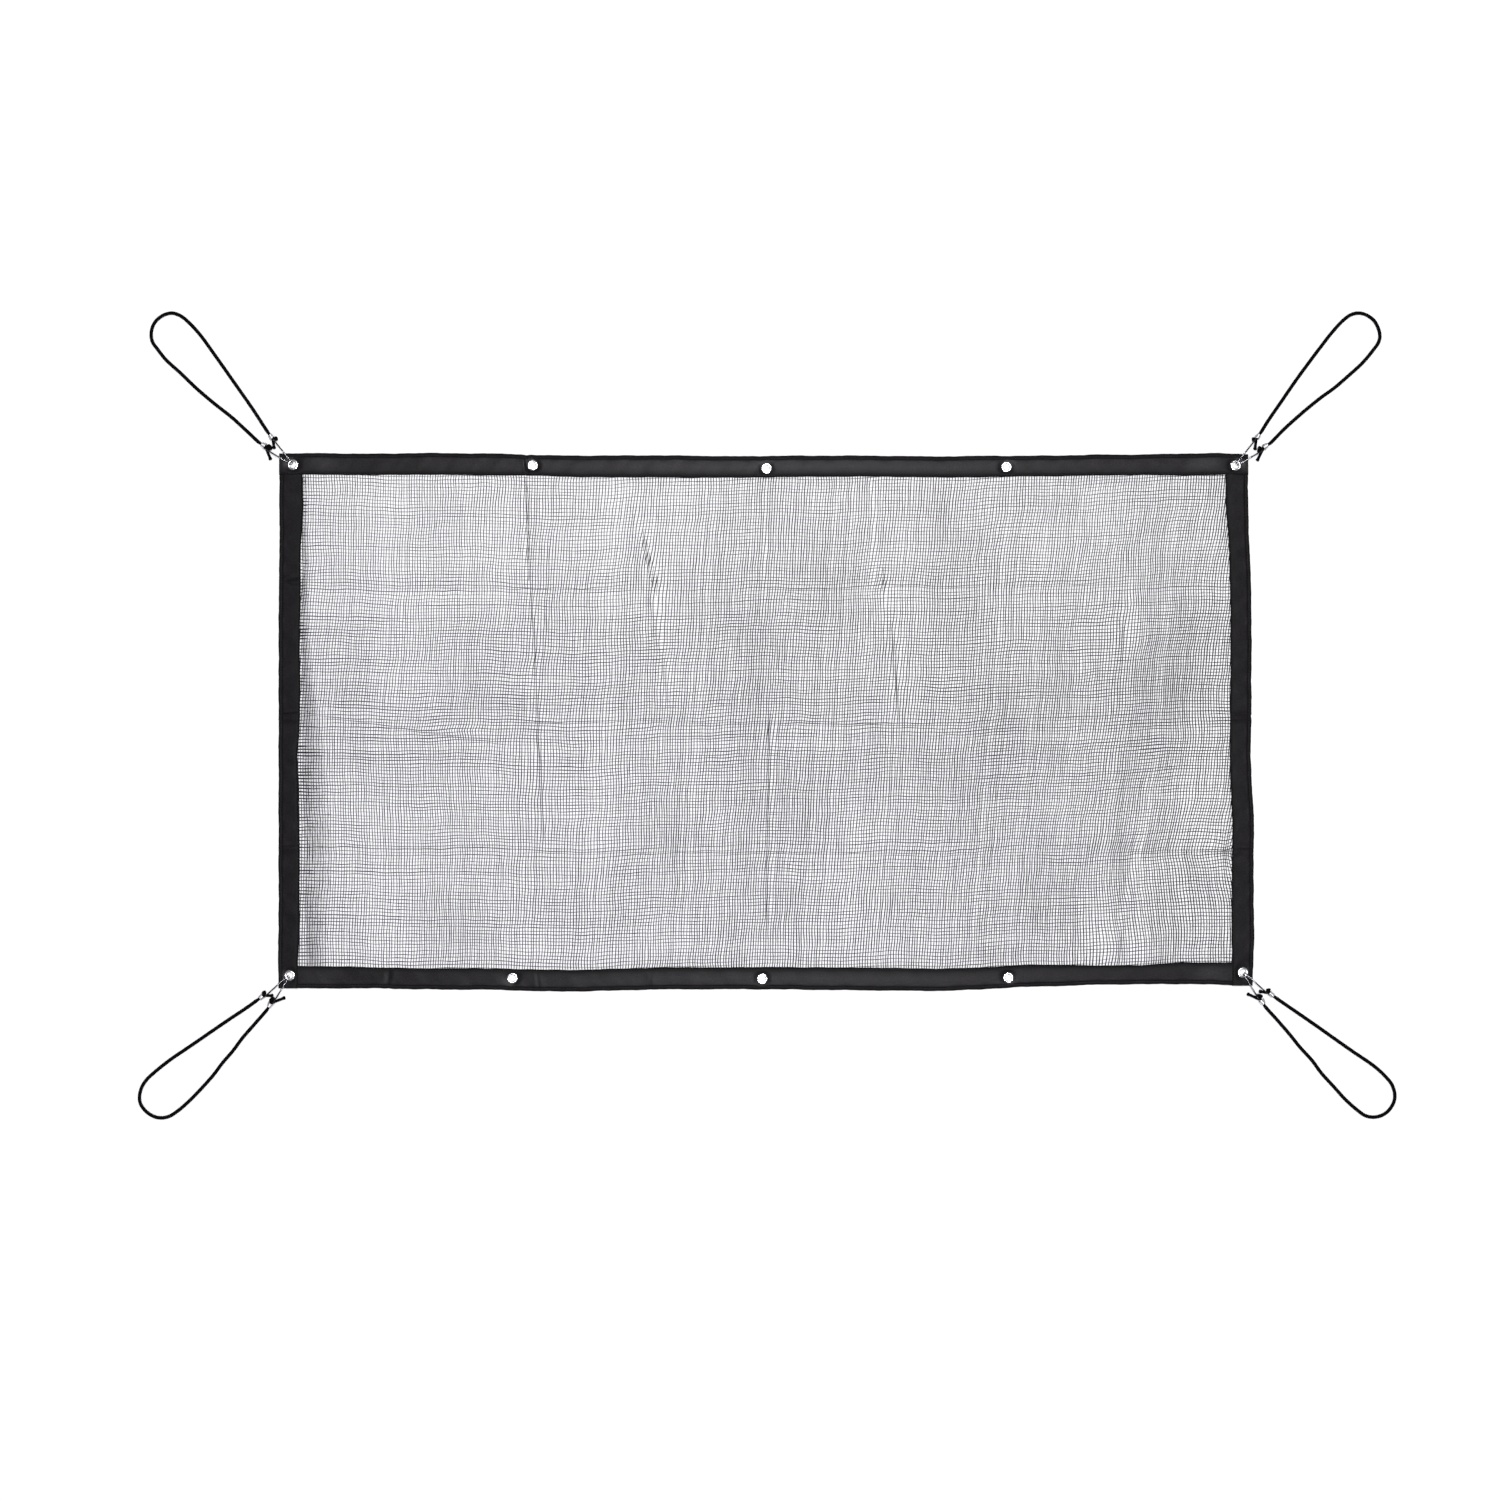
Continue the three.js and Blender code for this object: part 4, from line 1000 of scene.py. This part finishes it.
def hem_threads(rng):
    """The bunch at the left rim: upright threads that thin out to the right, and short level ones."""
    heights, middle, spread = np.array(HEM_LINE).T
    shares, thickness = np.array(HEM_THICKNESS).T
    share = np.linspace(shares[0], shares[-1], HEM_UPRIGHTS)[:, None]
    y = np.repeat(np.linspace(NET_BOTTOM, NET_TOP, WARP_POINTS)[None], len(share), axis=0)
    reach = np.interp(y, heights, spread)
    x = np.interp(y, heights, middle) + share * reach + ripple(y[0], 59, HEM_WAVES)
    radius = np.interp(share, shares, thickness) * np.minimum(1, reach / HEM_FULL_SPREAD)
    uprights = thread_mesh(x, y, radius, True, rng, loose=0.2)
    starts = starts_by_pitch((WEFT_REACH[0], NET_TOP - 6), WEFT_PITCHES, rng)
    y = np.repeat(starts[starts > NET_BOTTOM][:, None], len(HEM_LEVEL_TAPER), axis=1)
    left = side_edge("left_inner", y) - NET_TUCK
    reach = np.interp(y, heights, spread) * rng.uniform(*HEM_LEVEL_REACH, (len(y), 1))
    right = np.interp(y, heights, middle) + reach
    x = left + (right - left) * np.linspace(0, 1, len(HEM_LEVEL_TAPER))
    levels = thread_mesh(x, y, HEM_LEVEL_RADIUS * np.array(HEM_LEVEL_TAPER), False, rng, loose=0.5)
    return [uprights, levels]


def fold_threads(rng):
    """The second layer where the net lies double: along its pleat, in its tucks and at its left rim."""
    parts = pleat_threads(rng) + tuck_threads(rng) + hem_threads(rng)
    return join_parts([(points, faces.tolist()) for points, faces in parts])


def add_net():
    """The net's upright threads, its level threads and its folds, which stand for one cut panel."""
    rng = np.random.default_rng(7)
    warp = make_piece("net_warp", *warp_threads(rng), THREAD, "net")
    weft = make_piece("net_weft", *weft_threads(rng), THREAD, "net")
    folds = make_piece("net_folds", *fold_threads(rng), FOLDED_THREAD, "net")
    for piece in (warp, weft, folds):
        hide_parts("net_panel")


def strip_edges(strip, place):
    """Outer and inner edge of a strip, with the small unevenness of a sewn edge."""
    edge = long_edge if strip.along == "x" else side_edge
    seed = 20 + strip.number
    saw = SAW_DEPTH * np.abs(np.sin(np.pi * place / STITCH_PITCH)) * (1 + ripple(place, seed, SAW_WAVES))
    outer = edge(f"{strip.side}_outer", place)
    outer = outer + strip.inward * (saw + ripple(place, seed + 10, OUTER_WAVES))
    inner = edge(f"{strip.side}_inner", place)
    inner = inner - strip.inward * (0.5 * saw + ripple(place, seed + 20, INNER_WAVES))
    if strip.side in TAPE_NICKS:
        at, depth, width = TAPE_NICKS[strip.side]
        outer = outer + strip.inward * depth * bell((place - at) / width)
    return outer, inner


def strip_points(strip, place, across):
    return (place, across) if strip.along == "x" else (across, place)


def strip_lift(strip, place):
    _, inner = strip_edges(strip, place)
    lift = corner_lift(*strip_points(strip, place, inner))
    if strip.along == "y":
        lift = lift + side_crease_lift(strip.side, place)
    return lift


def tape_top(strip, place, u, width):
    """Height of the tape's face above the strip's own lift, at a distance u from its outer edge."""
    past_outer = u - OUTER_SEAM
    past_inner = u - width + INNER_SEAM
    top = TAPE_OUTER_HEIGHT + (TAPE_INNER_HEIGHT - TAPE_OUTER_HEIGHT) * u / width
    top = top - SEAM_GROOVE * bell(past_outer / OUTER_GROOVE)
    top = top - SEAM_GROOVE * bell(past_inner / INNER_GROOVE)
    top = top + FACE_WAVE_HEIGHT * ripple(place + 0.7 * u, 40 + strip.number, FACE_WAVES)
    pucker = bell((past_outer - PUCKER_AWAY) / PUCKER_WIDTH) + bell((past_inner + PUCKER_AWAY) / PUCKER_WIDTH)
    top = top + PUCKER_HEIGHT * pucker * np.sin(2 * np.pi * place / STITCH_PITCH)
    for at, slant, depth, across in TAPE_CREASES[strip.side]:
        away = (place - at - slant * (u - width / 2)) / across
        shoulder = SHOULDER_HEIGHT * bell((np.abs(away) - SHOULDER_AWAY) / SHOULDER_WIDTH)
        top = top + depth * (shoulder - bell(away))
    return top


def eyelet_dimple(x, y):
    """How far the pressed flanges draw the tape's face down around them."""
    dip = np.zeros(np.broadcast(x, y).shape)
    near, far = (FLANGE_RADIUS + past for past in DIMPLE_REACH)
    for eyelet_x, eyelet_y, _ in EYELETS.values():
        away = np.hypot(x - eyelet_x, y - eyelet_y)
        dip = np.maximum(dip, DIMPLE_DEPTH * (1 - smoothstep(away, near, far)))
    return dip


def strip_section(strip, place):
    """The folded tape's outline at each place: its face, the fold that holds the net, and its back.

    The second result is each point's share of the way across the tape.
    """
    outer, inner = strip_edges(strip, place)
    width = np.abs(inner - outer)
    lift = strip_lift(strip, place)
    full = np.ones_like(width)
    points, shares = [], []

    def add(u, z):
        x, y = strip_points(strip, place, outer + strip.inward * u)
        points.append(np.stack(np.broadcast_arrays(x, y, z + lift), axis=-1))
        shares.append(u / width)

    def face(u):
        x, y = strip_points(strip, place, outer + strip.inward * u)
        top = tape_top(strip, place, u, width) - eyelet_dimple(x, y)
        return np.maximum(top, TAPE_LEG + FACE_ABOVE_LEG)

    for u, z in ((0.55, 0), (0.15, 0.4), (0, 1.15), (0.16, 1.85)):
        add(u * full, z)
    for u in FACE_FROM_OUTER:
        add(u * full, face(u * full) - 0.1 * (u < 1))
    for back in FACE_FROM_INNER:
        add(width - back, face(width - back) - 0.1 * (back < 0.5))
    for back, drop in ((0, 0.4), (0.1, 0.9), (0.5, TAPE_LEG)):
        add(width - back, face(width) - drop)
    add(width - 9, np.maximum(face(width - 9) - TAPE_LEG, TAPE_LEG + 0.25))
    for u, rise in ((2.2, 0.35), (1.7, 0.15), (2.2, 0)):
        add(u * full, TAPE_LEG + rise)
    for back, z in ((9, TAPE_LEG), (0.4, TAPE_LEG), (0, 0.7), (0.1, 0.25), (0.5, 0)):
        add(width - back, z)
    add(width * 0.5, 0)
    return np.stack(points, axis=1), np.stack(shares, axis=1)


def hole_cutter(eyelets):
    """Round plugs that take the eyelets' holes out of the tape."""
    parts = []
    angle = 2 * np.pi * np.arange(HOLE_SIDES) / HOLE_SIDES
    for x, y, _ in eyelets:
        ring = np.stack([x + HOLE_RADIUS * np.cos(angle), y + HOLE_RADIUS * np.sin(angle), 0 * angle], axis=1)
        plug = np.vstack([ring + [0, 0, z] for z in HOLE_REACH])
        parts.append((plug, ring_faces(2, HOLE_SIDES)))
    points, faces = join_parts(parts)
    plugs = add_mesh("plugs", points * MM, faces)
    face_outward(plugs)
    return plugs


def cut_holes(piece, plugs):
    cut = piece.modifiers.new("eyelet_holes", "BOOLEAN")
    cut.operation = "DIFFERENCE"
    cut.solver = "EXACT"
    cut.object = plugs
    solid = piece.evaluated_get(bpy.context.evaluated_depsgraph_get())
    piece.data = bpy.data.meshes.new_from_object(solid)
    piece.modifiers.clear()
    bpy.data.objects.remove(plugs)
    piece.data.set_sharp_from_angle(angle=math.radians(TAPE_SHARP))


def stitch_row(strip, from_outer, from_inner):
    """One seam: short rounded stitches that lie in their groove."""
    length = strip.end - strip.start
    places = strip.start + STITCH_PITCH * (np.arange(int(length / STITCH_PITCH)) + 0.5)
    outer, inner = strip_edges(strip, places)
    width = np.abs(inner - outer)
    u = from_outer + 0 * width if from_outer else width - from_inner
    x, y = strip_points(strip, places, outer + strip.inward * u)
    away = np.min([np.hypot(x - e[0], y - e[1]) for e in EYELETS.values()], axis=0)
    clear = away > FLANGE_RADIUS + 0.5
    z = strip_lift(strip, places) + tape_top(strip, places, u, width) - eyelet_dimple(x, y) + STITCH_RISE
    share = np.array([-1, -0.75, 0, 0.75, 1])
    girth = np.array([0.25, 0.85, 1, 0.85, 0.25])
    along = share * STITCH_LENGTH / 2
    bow = STITCH_BOW * (1 - share**2)
    step_x, step_y = strip_points(strip, 1, 0)
    parts = []
    for px, py, pz in zip(x[clear], y[clear], z[clear]):
        line = np.stack([px + step_x * along, py + step_y * along, pz + bow], axis=1)
        parts.append(tube(line, STITCH_RADIUS * girth[:, None], STITCH_SIDES))
    return parts


def tape_places(strip):
    """Stations along a strip: even steps, and closer ones across its creases."""
    steps = round((strip.end - strip.start) / TAPE_STEP)
    keys = [at + n * width for at, _, _, width in TAPE_CREASES[strip.side] for n in range(-3, 4)]
    place = np.unique(np.concatenate([np.linspace(strip.start, strip.end, steps + 1), keys]))
    return place[np.concatenate([[True], np.diff(place) > 0.3])]


def lies_on(strip, eyelet):
    x, y, _ = eyelet
    place, across = (x, y) if strip.along == "x" else (y, x)
    if not strip.start < place < strip.end:
        return False
    outer, inner = strip_edges(strip, np.array([place]))
    return min(outer[0], inner[0]) < across < max(outer[0], inner[0])


def add_tape():
    for strip in STRIPS:
        place = tape_places(strip)
        section, shares = strip_section(strip, place)
        rings, sides = section.shape[:2]
        faces = ring_faces(rings, sides)
        piece = make_piece(f"tape_{strip.side}", section.reshape(-1, 3), faces, TAPE, "tape")
        add_uv(piece, "tape", np.stack([np.repeat(place * MM, sides), shares.ravel()], axis=1))
        face_outward(piece)
        cut_holes(piece, hole_cutter([e for e in EYELETS.values() if lies_on(strip, e)]))
        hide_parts(f"binding_{strip.side}")
        stitches = stitch_row(strip, OUTER_SEAM, 0) + stitch_row(strip, 0, INNER_SEAM)
        seam = make_piece(f"seam_{strip.side}", *join_parts(stitches), STITCH, "tape")


def add_eyelets():
    """Pressed rings: their section turned about each eyelet's middle."""
    angle = 2 * np.pi * np.arange(RING_SIDES) / RING_SIDES
    faces = quads_around(RING_SIDES, len(RING_PROFILE), closed=True)
    r, z = RING_PROFILE.T
    for name, (x, y, lift) in EYELETS.items():
        around = [x + np.outer(np.cos(angle), r), y + np.outer(np.sin(angle), r)]
        points = np.stack([*around, np.tile(z + lift, (RING_SIDES, 1))], axis=-1).reshape(-1, 3)
        piece = make_piece(f"{name}_ring", points, faces, RING_METAL, "steel", sharp=RING_SHARP)
        face_outward(piece)
        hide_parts(name)


def cone_axis(corner, hook):
    """The line a hook's cone is wound about: its two ends, its direction and the way to its right."""
    eyelet_x, eyelet_y, _ = EYELETS[corner.eyelet]
    heading = np.array([eyelet_x - hook.cord[0], eyelet_y - hook.cord[1]])
    heading /= np.linalg.norm(heading)
    start = np.array([*hook.cord, SURFACE_CLEAR + WIRE_RADIUS + CONE_NARROW_RADIUS])
    wide = np.array(hook.cord) + heading * CONE_LENGTH
    end = np.array([*wide, SURFACE_CLEAR + WIRE_RADIUS + CONE_WIDE_RADIUS[hook.name]])
    axis = (end - start) / np.linalg.norm(end - start)
    return start, end, axis, np.array([heading[1], -heading[0], 0])


def hook_line(corner, hook):
    """The hook's wire: the cone, the shank over the tape's edge, down the bore and back under it."""
    start, end, _, right = cone_axis(corner, hook)
    share = np.linspace(0, 1, CONE_STEPS + 1)
    angle = math.radians(hook.leaves) - (1 - share) * CONE_TURNS * 2 * np.pi
    radius = CONE_NARROW_RADIUS + (CONE_WIDE_RADIUS[hook.name] - CONE_NARROW_RADIUS) * share
    cone = start + np.outer(share, end - start) + np.outer(radius * np.cos(angle), right)
    cone[:, 2] += radius * np.sin(angle)

    eyelet_x, eyelet_y, _ = EYELETS[corner.eyelet]
    outward = np.array(corner.outward) / math.sqrt(2)
    sideways = np.array([outward[1], -outward[0]])
    aside = math.copysign(1, (np.array(hook.cord) - (eyelet_x, eyelet_y)) @ sideways)
    bore = np.array([eyelet_x, eyelet_y]) + outward * HOOK_OUTWARD + sideways * aside * HOOK_ASIDE
    leaving = cone[-1]
    run = bore - leaving[:2]
    run /= np.linalg.norm(run)
    over = CORNER_LIFT + EYELET_HEIGHT + GAP + WIRE_RADIUS
    under = SURFACE_CLEAR + WIRE_RADIUS
    bend = HOOK_BEND_RADIUS

    def place(back, z):
        return np.array([*(bore - run * back), z])

    quarter = np.radians(np.linspace(90, 0, 7))
    turn_down = [place(bend - bend * math.cos(q), over - bend + bend * math.sin(q)) for q in quarter]
    turn_back = [place(bend - bend * math.cos(q), under + bend - bend * math.sin(q)) for q in quarter[::-1]]
    crest = place(*HOOK_CREST)
    shank = smooth_line([leaving + (crest - leaving) * 0.15, crest, place(FLANGE_RADIUS, over)], 1)
    tail = [place(bend + HOOK_RETURN * n, under) for n in (0.4, 1)]
    return np.vstack([cone, shank, turn_down, turn_back, tail])


def knot_parts(corner, hook):
    """A stopper knot: the neck from the cone, the strand's turns, and the tail from the cone's mouth."""
    start, end, axis, right = cone_axis(corner, hook)
    centre = end + axis * hook.along + right * hook.aside
    size = KNOT_SIZE[hook.name]
    centre[2] = SURFACE_CLEAR + KNOT_LIFT * size
    neck_start = start + axis * (CORD_END_IN_CONE + GAP)
    neck = smooth_line([neck_start, neck_start + axis * 2, centre], KNOT_STEP)
    turn = np.linspace(0, 2 * np.pi * KNOT_TURNS, 60)
    up = np.array([0, 0, 1.0])
    lean = axis * 0.75 + up * 0.66
    wide, tall, deep = (reach * size for reach in KNOT_REACH)
    knot = (
        centre
        + np.outer(wide * np.cos(turn), right)
        + np.outer(tall * np.sin(turn), lean)
        + np.outer(deep * np.sin(2 * turn + 0.6), np.cross(right, lean))
    )
    tail_end = np.array([*hook.tail, SURFACE_CLEAR + TAIL_BULB_RADIUS])
    tail = smooth_line([end, end * 0.5 + tail_end * 0.5 - [0, 0, 0.3], tail_end], KNOT_STEP)
    left = np.linalg.norm(tail - tail_end, axis=1)
    bulb = TAIL_RADIUS + (TAIL_BULB_RADIUS - TAIL_RADIUS) * (1 - smoothstep(left, *BULB_GROWS))
    bulb = bulb * np.sqrt(np.clip(1 - ((1.6 - left).clip(0) / 1.75) ** 2, 0.02, 1))
    strands = ((neck, CORD_RADIUS), (knot, KNOT_STRAND * size), (tail, bulb[:, None]))
    return [tube(line, radius, KNOT_SIDES) for line, radius in strands]


def cord_line(corner):
    lying = CORD_CLEAR + CORD_RADIUS + CORD_SWELL
    ends = []
    for hook in corner.hooks:
        start, _, axis, _ = cone_axis(corner, hook)
        ends.append([start + axis * along for along in (CORD_END_IN_CONE, 0, -CORD_LEAD)])
    route = [(x / MM, y / MM, lying) for x, y in corner.route]
    return smooth_line([*ends[0], *route, *ends[1][::-1]], CORD_STEP)


def add_wire(tag, line):
    """One hook: its coil in a bright copy of the metal that paints its glints, and its shank in a dark copy
    that paints its shade.
    """
    shank = np.zeros((len(line), 1))
    shank[CONE_STEPS + 2:-SHANK_END] = SHANK_EXTRA
    wire = make_piece(f"wire_{tag}", *tube(line, WIRE_RADIUS + shank, WIRE_SIDES), LIT_COIL_METAL, "steel")
    wire.data.materials.append(SHADED_SHANK_METAL)
    on_shank = np.arange(len(wire.data.polygons)) >= CONE_STEPS * WIRE_SIDES
    wire.data.polygons.foreach_set("material_index", on_shank.astype(np.int32))
    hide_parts(f"hook_{tag}")
    return wire


def add_cord(corner):
    """One elastic cord, with its braid in relief and mapped by millimetres along it and turns around it."""
    line = cord_line(corner)
    run = np.arange(len(line))[:, None] * CORD_STEP
    turn = 2 * np.pi * np.arange(CORD_SIDES)[None] / CORD_SIDES
    along = 2 * np.pi * BRAID_TURNS * run
    braid = np.sin(along + BRAID_STRANDS * turn) * np.sin(along - BRAID_STRANDS * turn)
    from_end = np.minimum(run, run[-1] - run)
    swell = CORD_SWELL * smoothstep(from_end, CORD_END_IN_CONE + 1, 3 * CORD_END_IN_CONE)
    shape = tube(line, CORD_RADIUS + swell + BRAID_RELIEF * braid, CORD_SIDES)
    cord = make_piece(f"elastic_{corner.name}", *shape, BRAID, "cord")
    around = np.tile(np.arange(CORD_SIDES) / CORD_SIDES, len(line))
    add_uv(cord, "braid", np.stack([np.repeat(run_along(line), CORD_SIDES), around], axis=1))
    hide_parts(f"cord_{corner.name}")


def add_corners():
    for corner in CORNERS:
        with_cord = []
        for hook in corner.hooks:
            tag = f"{corner.name}_{hook.name}"
            wire = add_wire(tag, hook_line(corner, hook))
            knot = make_piece(f"stopper_{tag}", *join_parts(knot_parts(corner, hook)), BRAID, "cord")
            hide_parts(f"knot_{tag}")
            with_cord += [wire, knot]
        add_cord(corner)


def add_world():
    """A studio's light: a bright ceiling over a dim horizon, with plain white behind the floor."""
    world = bpy.data.worlds.new("studio")
    world.use_nodes = True
    nodes = Nodes(world.node_tree)
    direction = nodes.add("TexCoord").outputs["Generated"]
    height = nodes.add("SeparateXYZ", {0: direction}).outputs["Z"]
    low, high = SKY_RISE
    light = {"From Min": low, "From Max": high, "To Min": HORIZON_LIGHT, "To Max": CEILING_LIGHT}
    sky = nodes.add("MapRange", {"Value": height, **light}).outputs[0]
    seen = nodes.add("LightPath").outputs["Is Camera Ray"]
    strength = nodes.add("Mix", {"Factor": seen, "A": sky, "B": 1.0}).outputs[0]
    background = world.node_tree.nodes["Background"]
    background.inputs["Color"].default_value = (1, 1, 1, 1)
    world.node_tree.links.new(strength, background.inputs["Strength"])
    bpy.context.scene.world = world


def add_floor():
    shader = Shader("pale_floor", Roughness=0.9, Emission_Color=(1, 1, 1, 1))
    place = shader.place()
    tone = shader.noise(place, 3)
    away = shader.add("VectorMath", {0: place}, operation="LENGTH").outputs["Value"]
    near, far, strength = FLOOR_GLOW
    shader.link(shader.spread(away, From_Min=near, From_Max=far, To_Max=strength), "Emission Strength")
    shader.link(shader.ramp(tone, [(0, (0.9, 0.9, 0.9)), (1, (0.93, 0.93, 0.93))]), "Base Color")
    corners = [(x * FLOOR_HALF, y * FLOOR_HALF, -FLOOR_DROP) for x, y in ((-1, -1), (1, -1), (1, 1), (-1, 1))]
    floor = add_mesh("floor", corners, [(0, 1, 2, 3)])
    floor.data.materials.append(shader.material)


def add_stage():
    add_floor()
    add_world()
    data = bpy.data.lights.new("overhead", "AREA")
    data.shape = "RECTANGLE"
    data.size, data.size_y = LAMP_SIZE
    data.energy = LAMP_WATTS
    data.color = LAMP_TINT
    add_object("overhead", data).location = LAMP_PLACE

    data = bpy.data.cameras.new("camera")
    data.lens = LENS
    data.sensor_width = SENSOR
    camera = add_object("camera", data)
    camera.location = (*VIEW_CENTRE, VIEW_WIDTH * LENS / SENSOR)
    bpy.context.scene.camera = camera
    bpy.context.scene.view_settings.view_transform = "Standard"


add_stage()
add_corners()
add_net()
add_tape()
add_eyelets()
